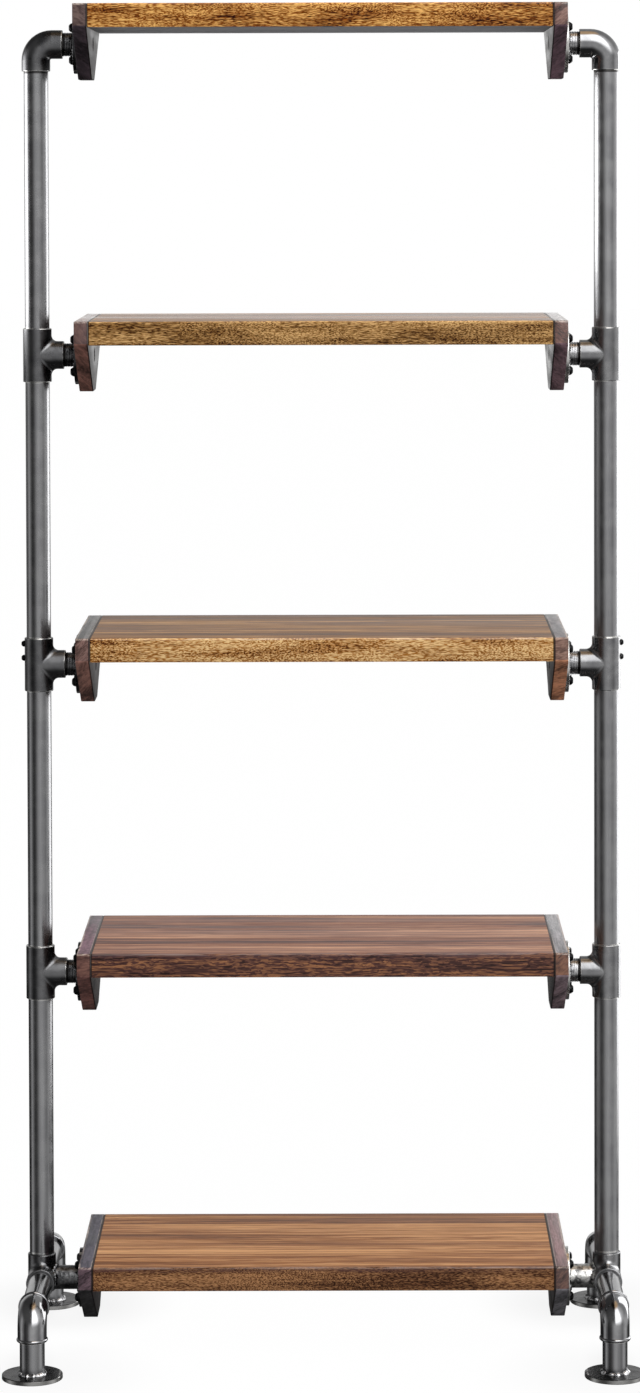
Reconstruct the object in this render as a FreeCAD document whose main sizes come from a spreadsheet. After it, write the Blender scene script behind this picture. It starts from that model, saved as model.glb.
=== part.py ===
import FreeCAD, Part
import math
import os
import Sketcher
from FreeCAD import Placement, Rotation, Vector

# A free-standing etagere: five wooden shelves between two posts of steel pipe.
# +Z is up, the front faces -Y, and the origin lies on the floor under the middle of the unit.
# Lengths are in millimetres.

# Driving sizes: name, value, what it measures
SIZES = [
    ("pipe_diameter", 33.4, "outside of the pipe in posts, arms and feet"),
    ("pipe_wall", 3.0, "wall of every pipe"),
    ("nipple_diameter", 32.4, "outside of the pipe that carries a shelf"),
    ("nipple_gap", 15.5, "bare length of a shelf pipe between fitting and plate"),
    ("fitting_wall", 2.6, "wall of a fitting round its socket"),
    ("fitting_reach", 36.5, "from a fitting's centre to its mouth"),
    ("collar_reach", 34.0, "from a base tee's centre up to its mouth"),
    ("collar_step", 0.4, "how much slimmer a base tee's collar is than its run, on the radius"),
    ("socket_depth", 16.0, "how far a pipe goes into a fitting"),
    ("slip_depth", 33.5, "how far the upper post goes into the middle tee"),
    ("socket_clearance", 0.2, "gap between a pipe and its socket"),
    ("bend_radius", 21.5, "middle line of an elbow's bend"),
    ("crotch_radius", 8.0, "blend between a tee's run and branch"),
    ("rim_radius", 1.0, "rounding of a fitting's mouths"),
    ("bead_radius", 2.6, "section of the bead round a foot elbow's mouth"),
    ("bead_sink", 1.1, "how deep the bead's middle lies under the elbow's skin"),
    ("shelf_pitch", 423.0, "from one shelf to the next"),
    ("board_length", 620.0, "board between its brackets"),
    ("board_depth", 295.0, "board and bracket, front to rear"),
    ("board_thickness", 32.0, "board"),
    ("edge_radius", 3.0, "easing of the board's and brackets' long edges"),
    ("bracket_thickness", 19.0, "end bracket"),
    ("bracket_rise", 51.0, "from the pipe's axis up to the shelf's top"),
    ("bracket_drop", 48.5, "from the pipe's axis down to the bracket's foot"),
    ("bracket_foot_width", 54.0, "flat at the bracket's foot"),
    ("bracket_hole_diameter", 20.0, "hole in the bracket on the pipe's axis"),
    ("plate_diameter", 80.0, "round plate on a bracket"),
    ("plate_thickness", 7.0, "round plate on a bracket"),
    ("plate_edge_radius", 0.8, "rounding of the plates' rims"),
    ("plate_weld_leg", 2.4, "weld between a plate and its pipe"),
    ("weld_gap", 0.3, "gap that is welded shut between a spur and its base tee"),
    ("screw_diameter", 4.5, "shank of a plate screw"),
    ("screw_length", 20.0, "shank of a plate screw, under its head"),
    ("screw_clearance", 0.2, "gap between a screw and its hole"),
    ("screw_head_diameter", 13.0, "dome of a plate screw"),
    ("screw_head_height", 5.5, "dome of a plate screw"),
    ("screw_edge_distance", 9.0, "from a plate's rim in to its screws"),
    ("set_screw_diameter", 5.0, "shank of a set screw"),
    ("set_screw_head_diameter", 8.6, "dome of a set screw"),
    ("set_screw_head_height", 4.2, "dome of a set screw"),
    ("set_screw_inset", 8.5, "from the middle tee's upper mouth down to the first set screw"),
    ("set_screw_spacing", 19.5, "from the first set screw down to the second"),
    ("dowel_diameter", 8.0, "dowel between board and bracket"),
    ("dowel_spacing", 95.0, "from one dowel to the next"),
    ("dowel_in_board", 18.0, "dowel's length in the board"),
    ("dowel_in_bracket", 11.0, "dowel's length in the bracket"),
    ("dowel_clearance", 0.1, "gap between a dowel and its hole"),
    ("foot_offset", 187.5, "from a post out to the foot before or behind it"),
    ("foot_pipe_gap", 43.5, "bare upright pipe between foot elbow and plate"),
    ("foot_plate_diameter", 81.0, "round plate on the floor"),
    ("foot_plate_thickness", 6.0, "round plate on the floor"),
    ("foot_weld_leg", 3.2, "weld between a foot's pipe and its plate"),
]

# Levels of the five pipe axes, from the floor up
LEVELS = ["bottom", "lower", "middle", "upper", "top"]
SIDES = ["left", "right"]
FOOT_ENDS = ["front", "rear"]
DOWELS_PER_JOINT = 3
SCREWS_PER_PLATE = 4
SCREW_START = "45 deg"

# Sizes that follow from the driving ones
SOCKET_RADIUS = "(Sizes.pipe_diameter / 2 + Sizes.socket_clearance)"
NIPPLE_SOCKET_RADIUS = "(Sizes.nipple_diameter / 2 + Sizes.socket_clearance)"
FITTING_RADIUS = f"({SOCKET_RADIUS} + Sizes.fitting_wall)"
BRANCH_RADIUS = f"({NIPPLE_SOCKET_RADIUS} + Sizes.fitting_wall)"
COLLAR_RADIUS = f"({FITTING_RADIUS} - Sizes.collar_step)"
PIPE_RADIUS = "(Sizes.pipe_diameter / 2)"
NIPPLE_RADIUS = "(Sizes.nipple_diameter / 2)"
PIPE_BORE_RADIUS = f"({PIPE_RADIUS} - Sizes.pipe_wall)"
NIPPLE_BORE_RADIUS = f"({NIPPLE_RADIUS} - Sizes.pipe_wall)"
SEAT = "(Sizes.fitting_reach - Sizes.socket_depth)"
COLLAR_SEAT = "(Sizes.collar_reach - Sizes.socket_depth)"
SLIP_SEAT = "(Sizes.fitting_reach - Sizes.slip_depth)"
SHELF_END = "(Sizes.board_length / 2 + Sizes.bracket_thickness)"
PLATE_FACE = f"({SHELF_END} + Sizes.plate_thickness)"
POST_X = f"({PLATE_FACE} + Sizes.nipple_gap + Sizes.fitting_reach)"
FOOT_TOP = "Sizes.foot_plate_thickness"
BASE_AXIS = f"({FOOT_TOP} + Sizes.foot_pipe_gap + Sizes.fitting_reach)"
BOARD_MIDDLE = "(Sizes.bracket_rise - Sizes.board_thickness / 2)"
SCREW_CIRCLE_RADIUS = "(Sizes.plate_diameter / 2 - Sizes.screw_edge_distance)"
SCREW_HOLE_RADIUS = "(Sizes.screw_diameter / 2 + Sizes.screw_clearance)"
SET_SCREW_HIGH = "(Sizes.fitting_reach - Sizes.set_screw_inset)"
SET_SCREW_LOW = f"({SET_SCREW_HIGH} - Sizes.set_screw_spacing)"
DOWEL_HOLE_RADIUS = "(Sizes.dowel_diameter / 2 + Sizes.dowel_clearance)"

# Turns that lay a feature's own +Z along an axis of its body
TURNS = {
    "z": Rotation(),
    "x": Rotation(Vector(0, 1, 0), 90),
    "-x": Rotation(Vector(0, 1, 0), -90),
    "y": Rotation(Vector(1, 0, 0), -90),
}

doc = FreeCAD.newDocument("etagere")
sheet = doc.addObject("Spreadsheet::Sheet", "Sizes")
for line, (alias, value, note) in enumerate(SIZES, start=1):
    sheet.set(f"A{line}", alias)
    sheet.set(f"B{line}", str(value))
    sheet.setAlias(f"B{line}", alias)
    sheet.set(f"C{line}", note)
doc.recompute()

sub_parts = []


def number(expression):
    """The value of an expression on the sheet."""
    return float(sheet.evalExpression(expression))


def level_height(index):
    """Height of a pipe axis over the floor, counted from the base."""
    return f"({BASE_AXIS} + {index} * Sizes.shelf_pitch)"


def new_body(label, solids=1):
    """A sub-part and the number of solids that it has to hold."""
    body = doc.addObject("PartDesign::Body", label)
    body.Label = label
    sub_parts.append((body, solids))
    return body


def place(body, turn=0, x="0", y="0", z="0"):
    """Stands a finished sub-part in its place, turned about +Z by some degrees."""
    body.Placement = Placement(Vector(), Rotation(Vector(0, 0, 1), turn))
    for axis, expression in (("x", x), ("y", y), ("z", z)):
        body.setExpression(f"Placement.Base.{axis}", expression)


def origin_feature(body, role):
    """An axis or plane of the body's own origin."""
    return next(f for f in body.Origin.OriginFeatures if f.Role == role)


def primitive(body, kind, name, axis, sizes, at):
    """An additive or subtractive primitive with bound sizes, laid along an axis and put at a bound place."""
    feature = body.newObject(f"PartDesign::{kind}", name)
    feature.Placement = Placement(Vector(), TURNS[axis])
    for prop, expression in sizes.items():
        feature.setExpression(prop, expression)
    for direction, expression in at.items():
        feature.setExpression(f"Placement.Base.{direction}", expression)
    return feature


def boss(body, name, axis, radius, height, **at):
    """A round bar that is added to the body."""
    return primitive(body, "AdditiveCylinder", name, axis, {"Radius": radius, "Height": height}, at)


def bore(body, name, axis, radius, height, **at):
    """A round hole that is cut from the body."""
    return primitive(body, "SubtractiveCylinder", name, axis, {"Radius": radius, "Height": height}, at)


def dome(body, name, axis, diameter, height, **at):
    """Half of a flattened ball: the head of a screw."""
    radius = f"{diameter} / 2"
    sizes = {"Radius1": height, "Radius2": radius, "Radius3": radius}
    feature = primitive(body, "AdditiveEllipsoid", name, axis, sizes, at)
    feature.Angle1 = 0
    return feature


def bead(body, name, axis, **at):
    """The rounded ring at a foot elbow's mouth."""
    sizes = {"Radius1": f"{FITTING_RADIUS} - Sizes.bead_sink", "Radius2": "Sizes.bead_radius"}
    return primitive(body, "AdditiveTorus", name, axis, sizes, at)


def weld(body, name, axis, radius, leg, **at):
    """A ring of weld in the corner between a pipe and a plate."""
    sizes = {"Radius1": f"{radius} + {leg}", "Radius2": radius, "Height": leg}
    return primitive(body, "AdditiveCone", name, axis, sizes, at)


def soften(body, name, radius, wanted):
    """Rounds those edges of the body that the test picks out."""
    doc.recompute()
    base = body.Tip
    names = [f"Edge{i}" for i, edge in enumerate(base.Shape.Edges, start=1) if wanted(edge)]
    if not names:
        raise ValueError(f"{body.Label}: no edge to round for {name}")
    fillet = body.newObject("PartDesign::Fillet", name)
    fillet.Base = (base, names)
    fillet.setExpression("Radius", radius)
    return fillet


def is_crotch(edge):
    """True on the curve where a branch meets a run."""
    return edge.Curve.TypeId not in ("Part::GeomCircle", "Part::GeomLine")


def is_circle_of(*radii):
    """A test for round edges of these radii."""
    wanted = [number(radius) for radius in radii]

    def test(edge):
        if edge.Curve.TypeId != "Part::GeomCircle":
            return False
        return any(abs(edge.Curve.Radius - radius) < edge.Tolerance for radius in wanted)

    return test


def is_mouth(edge):
    """True on the outer round edges of an elbow's two mouths."""
    if not is_circle_of(FITTING_RADIUS)(edge):
        return False
    return abs(edge.Curve.Center.Length - number("Sizes.fitting_reach")) < edge.Tolerance


def runs_along_x(edge):
    """True on straight edges that lie along the shelf."""
    if edge.Curve.TypeId != "Part::GeomLine":
        return False
    return abs(edge.Curve.Direction.x) > abs(edge.Curve.Direction.y) + abs(edge.Curve.Direction.z)


def finish_pattern(body, pattern):
    """Makes a pattern the body's result."""
    body.Tip = pattern
    doc.recompute()


def polar(body, original, count):
    """Repeats one cut round the body's X axis."""
    pattern = body.newObject("PartDesign::PolarPattern", f"{original.Name}_ring")
    pattern.Originals = [original]
    pattern.Axis = (origin_feature(body, "X_Axis"), [""])
    pattern.Angle = 360
    pattern.Occurrences = count
    finish_pattern(body, pattern)


def polar_whole(body, count):
    """Repeats the whole body round its X axis."""
    pattern = body.newObject("PartDesign::PolarPattern", "ring")
    pattern.TransformMode = "Whole shape"
    pattern.Axis = (origin_feature(body, "X_Axis"), [""])
    pattern.Angle = 360
    pattern.Occurrences = count
    finish_pattern(body, pattern)


def row(body, name, role, spacing, count, originals=None):
    """Repeats the whole body, or some of its cuts, along an axis of its origin."""
    pattern = body.newObject("PartDesign::LinearPattern", name)
    if originals:
        pattern.Originals = originals
    else:
        pattern.TransformMode = "Whole shape"
    pattern.Direction = (origin_feature(body, role), [""])
    pattern.Mode = "Extent"
    pattern.setExpression("Length", f"{count - 1} * {spacing}")
    pattern.Occurrences = count
    finish_pattern(body, pattern)


def mirror(body, name, role):
    """Repeats the whole body on the other side of a plane of its origin."""
    pattern = body.newObject("PartDesign::Mirrored", name)
    pattern.TransformMode = "Whole shape"
    pattern.MirrorPlane = (origin_feature(body, role), [""])
    finish_pattern(body, pattern)


def new_sketch(body, name, role):
    """An empty sketch on a plane of the body's origin."""
    sketch = body.newObject("Sketcher::SketchObject", name)
    sketch.AttachmentSupport = (origin_feature(body, role), [""])
    sketch.MapMode = "FlatFace"
    return sketch


def bind(sketch, kind, *where, size):
    """Adds a measured constraint to a sketch and binds it to an expression."""
    index = sketch.addConstraint(Sketcher.Constraint(kind, *where, number(size)))
    sketch.setExpression(f"Constraints[{index}]", size)


def draw_ring(sketch, radii):
    """Circles about the sketch's origin."""
    for radius in radii:
        circle = sketch.addGeometry(Part.Circle(Vector(), Vector(0, 0, 1), number(radius)))
        sketch.addConstraint(Sketcher.Constraint("Coincident", circle, 3, -1, 1))
        bind(sketch, "Radius", circle, size=radius)


def draw_outline(sketch, corners):
    """A closed run of straight lines through the corners."""
    points = [Vector(number(x), number(y), 0) for x, y in corners]
    lines = []
    for start, end in zip(points, points[1:] + points[:1]):
        lines.append(sketch.addGeometry(Part.LineSegment(start, end)))
    for line, following in zip(lines, lines[1:] + lines[:1]):
        sketch.addConstraint(Sketcher.Constraint("Coincident", line, 2, following, 1))


def draw_bend(sketch):
    """The middle line of an elbow: up from its lower mouth, round a quarter turn and out along +X."""
    reach = number("Sizes.fitting_reach")
    turn = number("Sizes.bend_radius")
    down = sketch.addGeometry(Part.LineSegment(Vector(0, -reach, 0), Vector(0, -turn, 0)))
    circle = Part.Circle(Vector(turn, -turn, 0), Vector(0, 0, 1), turn)
    arc = sketch.addGeometry(Part.ArcOfCircle(circle, math.pi / 2, math.pi))
    along = sketch.addGeometry(Part.LineSegment(Vector(turn, 0, 0), Vector(reach, 0, 0)))
    sketch.addConstraint(Sketcher.Constraint("Tangent", down, 2, arc, 2))
    sketch.addConstraint(Sketcher.Constraint("Tangent", along, 1, arc, 1))
    sketch.addConstraint(Sketcher.Constraint("PointOnObject", down, 1, -2))
    sketch.addConstraint(Sketcher.Constraint("PointOnObject", along, 2, -1))
    sketch.addConstraint(Sketcher.Constraint("Vertical", down))
    sketch.addConstraint(Sketcher.Constraint("Horizontal", along))
    bind(sketch, "Radius", arc, size="Sizes.bend_radius")
    bind(sketch, "DistanceY", down, 1, -1, 1, size="Sizes.fitting_reach")
    bind(sketch, "DistanceX", -1, 1, along, 2, size="Sizes.fitting_reach")


def pad(body, sketch, length, side="One side"):
    """Gives a sketch its bound length."""
    feature = body.newObject("PartDesign::Pad", f"{sketch.Name}_pad")
    feature.Profile = sketch
    feature.SideType = side
    feature.setExpression("Length", length)
    return feature


def make_post_tube(label, length):
    """One straight length of a post, standing on its lower end."""
    body = new_body(label)
    sketch = new_sketch(body, "pipe_section", "XY_Plane")
    draw_ring(sketch, [PIPE_RADIUS, PIPE_BORE_RADIUS])
    pad(body, sketch, length)
    return body


def make_round_plate(label, diameter, thickness, role):
    """A disc with rounded rims, built out from a plane of its origin."""
    body = new_body(label)
    sketch = new_sketch(body, "disc", role)
    draw_ring(sketch, [f"{diameter} / 2"])
    pad(body, sketch, thickness)
    soften(body, "rims", "Sizes.plate_edge_radius", is_circle_of(f"{diameter} / 2"))
    return body


def make_tee(label, upper_depth="Sizes.socket_depth"):
    """A tee with an upright run and a branch along +X that takes a shelf's nipple."""
    body = new_body(label)
    run = "2 * Sizes.fitting_reach"
    boss(body, "run", "z", FITTING_RADIUS, run, z="-Sizes.fitting_reach")
    boss(body, "branch", "x", BRANCH_RADIUS, "Sizes.fitting_reach")
    soften(body, "crotch", "Sizes.crotch_radius", is_crotch)
    bore(body, "run_way", "z", PIPE_BORE_RADIUS, run, z="-Sizes.fitting_reach")
    bore(body, "branch_way", "x", NIPPLE_BORE_RADIUS, "Sizes.fitting_reach")
    bore(body, "lower_socket", "z", SOCKET_RADIUS, "Sizes.socket_depth", z="-Sizes.fitting_reach")
    bore(body, "upper_socket", "z", SOCKET_RADIUS, upper_depth, z=f"Sizes.fitting_reach - {upper_depth}")
    bore(body, "branch_socket", "x", NIPPLE_SOCKET_RADIUS, "Sizes.socket_depth", x=SEAT)
    soften(body, "rims", "Sizes.rim_radius", is_circle_of(FITTING_RADIUS, BRANCH_RADIUS))
    return body


def make_middle_tee(label):
    """The tee where the post comes apart: a deep upper socket and two set screws in its outer wall."""
    body = make_tee(label, "Sizes.slip_depth")
    hole = "Sizes.set_screw_diameter / 2 + Sizes.screw_clearance"
    bore(body, "high_screw_hole", "-x", hole, FITTING_RADIUS, z=SET_SCREW_HIGH)
    bore(body, "low_screw_hole", "-x", hole, FITTING_RADIUS, z=SET_SCREW_LOW)
    return body


def make_base_tee(label):
    """The tee at a post's foot: its run lies front to rear and its collar takes the post."""
    body = new_body(label)
    run = "2 * Sizes.fitting_reach"
    boss(body, "run", "y", FITTING_RADIUS, run, y="-Sizes.fitting_reach")
    boss(body, "collar", "z", COLLAR_RADIUS, "Sizes.collar_reach")
    soften(body, "crotch", "Sizes.crotch_radius", is_crotch)
    bore(body, "run_way", "y", PIPE_BORE_RADIUS, run, y="-Sizes.fitting_reach")
    bore(body, "collar_way", "z", PIPE_BORE_RADIUS, "Sizes.collar_reach")
    bore(body, "front_socket", "y", SOCKET_RADIUS, "Sizes.socket_depth", y="-Sizes.fitting_reach")
    bore(body, "rear_socket", "y", SOCKET_RADIUS, "Sizes.socket_depth", y=SEAT)
    bore(body, "post_socket", "z", SOCKET_RADIUS, "Sizes.socket_depth", z=COLLAR_SEAT)
    soften(body, "rims", "Sizes.rim_radius", is_circle_of(FITTING_RADIUS, COLLAR_RADIUS))
    return body


def make_elbow(label, along_socket, beaded=False):
    """A quarter-turn fitting: one mouth down, the other along +X."""
    body = new_body(label)
    path = new_sketch(body, "middle_line", "XZ_Plane")
    draw_bend(path)
    section = new_sketch(body, "section", "XY_Plane")
    section.setExpression("AttachmentOffset.Base.z", "-Sizes.fitting_reach")
    draw_ring(section, [FITTING_RADIUS, PIPE_BORE_RADIUS])
    sweep = body.newObject("PartDesign::AdditivePipe", "bend")
    sweep.Profile = section
    sweep.Spine = path
    if beaded:
        bead(body, "down_bead", "z", z="Sizes.bead_radius - Sizes.fitting_reach")
        bead(body, "along_bead", "x", x="Sizes.fitting_reach - Sizes.bead_radius")
    bore(body, "down_socket", "z", SOCKET_RADIUS, "Sizes.socket_depth", z="-Sizes.fitting_reach")
    bore(body, "along_socket", "x", along_socket, "Sizes.socket_depth", x=SEAT)
    if not beaded:
        soften(body, "rims", "Sizes.rim_radius", is_mouth)
    return body


def make_shelf_plate(label):
    """The round plate between a shelf's pipe and its bracket, with its ring of screw holes."""
    body = make_round_plate(label, "Sizes.plate_diameter", "Sizes.plate_thickness", "YZ_Plane")
    y = f"{SCREW_CIRCLE_RADIUS} * cos({SCREW_START})"
    z = f"{SCREW_CIRCLE_RADIUS} * sin({SCREW_START})"
    hole = bore(body, "screw_hole", "x", SCREW_HOLE_RADIUS, "Sizes.plate_thickness", y=y, z=z)
    polar(body, hole, SCREWS_PER_PLATE)
    return body


def make_bracket(label):
    """A shield-shaped end bracket: upright for the board's thickness, then tapered to a narrow foot."""
    body = new_body(label)
    half_depth = "Sizes.board_depth / 2"
    half_foot = "Sizes.bracket_foot_width / 2"
    kink = "Sizes.bracket_rise - Sizes.board_thickness"
    corners = [
        (f"-{half_depth}", "Sizes.bracket_rise"),
        (half_depth, "Sizes.bracket_rise"),
        (half_depth, kink),
        (half_foot, "-Sizes.bracket_drop"),
        (f"-{half_foot}", "-Sizes.bracket_drop"),
        (f"-{half_depth}", kink),
    ]
    sketch = new_sketch(body, "shield", "YZ_Plane")
    draw_outline(sketch, corners)
    top, rear, foot, front = 0, 1, 3, 5
    sketch.addConstraint(Sketcher.Constraint("Symmetric", top, 1, top, 2, -2))
    sketch.addConstraint(Sketcher.Constraint("Symmetric", foot, 1, foot, 2, -2))
    sketch.addConstraint(Sketcher.Constraint("Vertical", rear))
    sketch.addConstraint(Sketcher.Constraint("Vertical", front))
    sketch.addConstraint(Sketcher.Constraint("Equal", rear, front))
    bind(sketch, "DistanceX", top, 1, top, 2, size="Sizes.board_depth")
    bind(sketch, "DistanceX", foot, 2, foot, 1, size="Sizes.bracket_foot_width")
    bind(sketch, "DistanceY", -1, 1, top, 1, size="Sizes.bracket_rise")
    bind(sketch, "DistanceY", foot, 1, -1, 1, size="Sizes.bracket_drop")
    bind(sketch, "DistanceY", rear, 2, rear, 1, size="Sizes.board_thickness")
    pad(body, sketch, "Sizes.bracket_thickness")
    soften(body, "eased_edges", "Sizes.edge_radius", runs_along_x)
    bore(body, "axis_hole", "x", "Sizes.bracket_hole_diameter / 2", "Sizes.bracket_thickness")
    y = f"{SCREW_CIRCLE_RADIUS} * cos({SCREW_START})"
    z = f"{SCREW_CIRCLE_RADIUS} * sin({SCREW_START})"
    depth = "Sizes.screw_length - Sizes.plate_thickness"
    pilot = bore(body, "pilot_hole", "x", SCREW_HOLE_RADIUS, depth, y=y, z=z)
    polar(body, pilot, SCREWS_PER_PLATE)
    start = "Sizes.bracket_thickness - Sizes.dowel_in_bracket"
    first = f"-{(DOWELS_PER_JOINT - 1) / 2} * Sizes.dowel_spacing"
    depth = "Sizes.dowel_in_bracket"
    hole = bore(body, "dowel_hole", "x", DOWEL_HOLE_RADIUS, depth, x=start, y=first, z=BOARD_MIDDLE)
    row(body, "dowel_holes", "Y_Axis", "Sizes.dowel_spacing", DOWELS_PER_JOINT, [hole])
    return body


def make_board(label):
    """A shelf board with eased upper edges and a row of blind dowel holes in each end."""
    body = new_body(label)
    half_depth = "Sizes.board_depth / 2"
    under = "Sizes.bracket_rise - Sizes.board_thickness"
    corners = [
        (f"-{half_depth}", "Sizes.bracket_rise"),
        (half_depth, "Sizes.bracket_rise"),
        (half_depth, under),
        (f"-{half_depth}", under),
    ]
    sketch = new_sketch(body, "section", "YZ_Plane")
    draw_outline(sketch, corners)
    top, rear, bottom, front = 0, 1, 2, 3
    sketch.addConstraint(Sketcher.Constraint("Symmetric", top, 1, top, 2, -2))
    sketch.addConstraint(Sketcher.Constraint("Vertical", rear))
    sketch.addConstraint(Sketcher.Constraint("Vertical", front))
    sketch.addConstraint(Sketcher.Constraint("Horizontal", bottom))
    bind(sketch, "DistanceX", top, 1, top, 2, size="Sizes.board_depth")
    bind(sketch, "DistanceY", -1, 1, top, 1, size="Sizes.bracket_rise")
    bind(sketch, "DistanceY", rear, 2, rear, 1, size="Sizes.board_thickness")
    pad(body, sketch, "Sizes.board_length", "Symmetric")
    middle = number(BOARD_MIDDLE)
    soften(body, "eased_edges", "Sizes.edge_radius", lambda e: runs_along_x(e) and e.CenterOfMass.z > middle)
    first = f"-{(DOWELS_PER_JOINT - 1) / 2} * Sizes.dowel_spacing"
    depth = "Sizes.dowel_in_board"
    ends = {"left": "-Sizes.board_length / 2", "right": f"Sizes.board_length / 2 - {depth}"}
    for side, x in ends.items():
        hole = bore(body, f"{side}_dowel_hole", "x", DOWEL_HOLE_RADIUS, depth, x=x, y=first, z=BOARD_MIDDLE)
        row(body, f"{side}_dowel_holes", "Y_Axis", "Sizes.dowel_spacing", DOWELS_PER_JOINT, [hole])
    return body


# Posts: tubes and fittings, seat to seat
for side in SIDES:
    sign, turn = ("-", 0) if side == "left" else ("", 180)
    post_x = f"{sign}{POST_X}"
    place(make_base_tee(f"{side}_base_tee"), turn, x=post_x, z=BASE_AXIS)
    for index, level in enumerate(LEVELS[1:], start=1):
        name = f"{side}_{level}"
        if level == "top":
            fitting = make_elbow(f"{name}_elbow", NIPPLE_SOCKET_RADIUS)
        elif level == "middle":
            fitting = make_middle_tee(f"{name}_tee")
        else:
            fitting = make_tee(f"{name}_tee")
        place(fitting, turn, x=post_x, z=level_height(index))
    below = {"bottom": COLLAR_SEAT, "middle": SLIP_SEAT}
    for index, level in enumerate(LEVELS[:-1]):
        seat = below.get(level, SEAT)
        tube = make_post_tube(f"{side}_{level}_post_tube", f"Sizes.shelf_pitch - {seat} - {SEAT}")
        place(tube, x=post_x, z=f"{level_height(index)} + {seat}")

# Shelves: board, brackets and their plates
for index, level in enumerate(LEVELS):
    height = level_height(index)
    place(make_board(f"{level}_shelf_board"), z=height)
    for side in SIDES:
        sign, turn = ("-", 0) if side == "left" else ("", 180)
        place(make_bracket(f"{level}_{side}_bracket"), turn, x=f"{sign}{SHELF_END}", z=height)
        place(make_shelf_plate(f"{level}_{side}_shelf_plate"), turn, x=f"{sign}{PLATE_FACE}", z=height)

# Feet: an elbow over each round floor plate
for side in SIDES:
    post_x = f"{'-' if side == 'left' else ''}{POST_X}"
    for end in FOOT_ENDS:
        sign, turn = ("-", 90) if end == "front" else ("", -90)
        foot_y = f"{sign}Sizes.foot_offset"
        elbow = make_elbow(f"{side}_{end}_foot_elbow", SOCKET_RADIUS, beaded=True)
        place(elbow, turn, x=post_x, y=foot_y, z=BASE_AXIS)
        label = f"{side}_{end}_foot_plate"
        plate = make_round_plate(label, "Sizes.foot_plate_diameter", FOOT_TOP, "XY_Plane")
        place(plate, x=post_x, y=foot_y)

# Nipples from the tees and top elbows to the shelf plates
nipples = new_body("shelf_nipples", solids=len(SIDES) * (len(LEVELS) - 1))
nipple_start = f"{SEAT} - {POST_X}"
nipple_length = "Sizes.nipple_gap + Sizes.socket_depth"
boss(nipples, "nipple", "x", NIPPLE_RADIUS, nipple_length, x=nipple_start)
bore(nipples, "nipple_way", "x", NIPPLE_BORE_RADIUS, nipple_length, x=nipple_start)
row(nipples, "levels", "Z_Axis", "Sizes.shelf_pitch", len(LEVELS) - 1)
mirror(nipples, "sides", "YZ_Plane")
place(nipples, z=level_height(1))

# Spurs from the base tees to the bottom shelf, cut to the round sides of run and collar
spurs = new_body("base_spurs", solids=len(SIDES))
spur_length = "Sizes.fitting_reach + Sizes.nipple_gap"
boss(spurs, "spur", "x", NIPPLE_RADIUS, spur_length, x=f"-{POST_X}")
bore(spurs, "spur_way", "x", NIPPLE_BORE_RADIUS, spur_length, x=f"-{POST_X}")
saddle_radius = f"({FITTING_RADIUS} + Sizes.weld_gap)"
bore(spurs, "run_saddle", "y", saddle_radius, f"2 * {saddle_radius}", x=f"-{POST_X}", y=f"-{saddle_radius}")
bore(spurs, "collar_saddle", "z", saddle_radius, "Sizes.collar_reach", x=f"-{POST_X}")
mirror(spurs, "sides", "YZ_Plane")
place(spurs, z=BASE_AXIS)

# Arms from the base tees out to the feet
arms = new_body("foot_arms", solids=len(SIDES) * len(FOOT_ENDS))
arm_start = f"{SEAT} - Sizes.foot_offset"
arm_length = f"Sizes.foot_offset - 2 * {SEAT}"
boss(arms, "arm", "y", PIPE_RADIUS, arm_length, x=f"-{POST_X}", y=arm_start)
bore(arms, "arm_way", "y", PIPE_BORE_RADIUS, arm_length, x=f"-{POST_X}", y=arm_start)
mirror(arms, "ends", "XZ_Plane")
mirror(arms, "sides", "YZ_Plane")
place(arms, z=BASE_AXIS)

# Upright pipes between the foot elbows and the floor plates
foot_pipes = new_body("foot_pipes", solids=len(SIDES) * len(FOOT_ENDS))
foot_at = {"x": f"-{POST_X}", "y": "-Sizes.foot_offset"}
foot_pipe_length = "Sizes.foot_pipe_gap + Sizes.socket_depth"
boss(foot_pipes, "foot_pipe", "z", PIPE_RADIUS, foot_pipe_length, **foot_at)
bore(foot_pipes, "foot_pipe_way", "z", PIPE_BORE_RADIUS, foot_pipe_length, **foot_at)
mirror(foot_pipes, "ends", "XZ_Plane")
mirror(foot_pipes, "sides", "YZ_Plane")
place(foot_pipes, z=FOOT_TOP)

# Welds round the foot pipes
foot_welds = new_body("foot_welds", solids=len(SIDES) * len(FOOT_ENDS))
weld(foot_welds, "bead", "z", PIPE_RADIUS, "Sizes.foot_weld_leg", **foot_at)
bore(foot_welds, "pipe_place", "z", PIPE_RADIUS, "Sizes.foot_weld_leg", **foot_at)
mirror(foot_welds, "ends", "XZ_Plane")
mirror(foot_welds, "sides", "YZ_Plane")
place(foot_welds, z=FOOT_TOP)

# Welds round the shelf pipes at their plates
plate_welds = new_body("plate_welds", solids=len(SIDES) * len(LEVELS))
weld(plate_welds, "bead", "-x", NIPPLE_RADIUS, "Sizes.plate_weld_leg", x=f"-{PLATE_FACE}")
bore(plate_welds, "pipe_place", "-x", NIPPLE_RADIUS, "Sizes.plate_weld_leg", x=f"-{PLATE_FACE}")
row(plate_welds, "levels", "Z_Axis", "Sizes.shelf_pitch", len(LEVELS))
mirror(plate_welds, "sides", "YZ_Plane")
place(plate_welds, z=BASE_AXIS)

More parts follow.
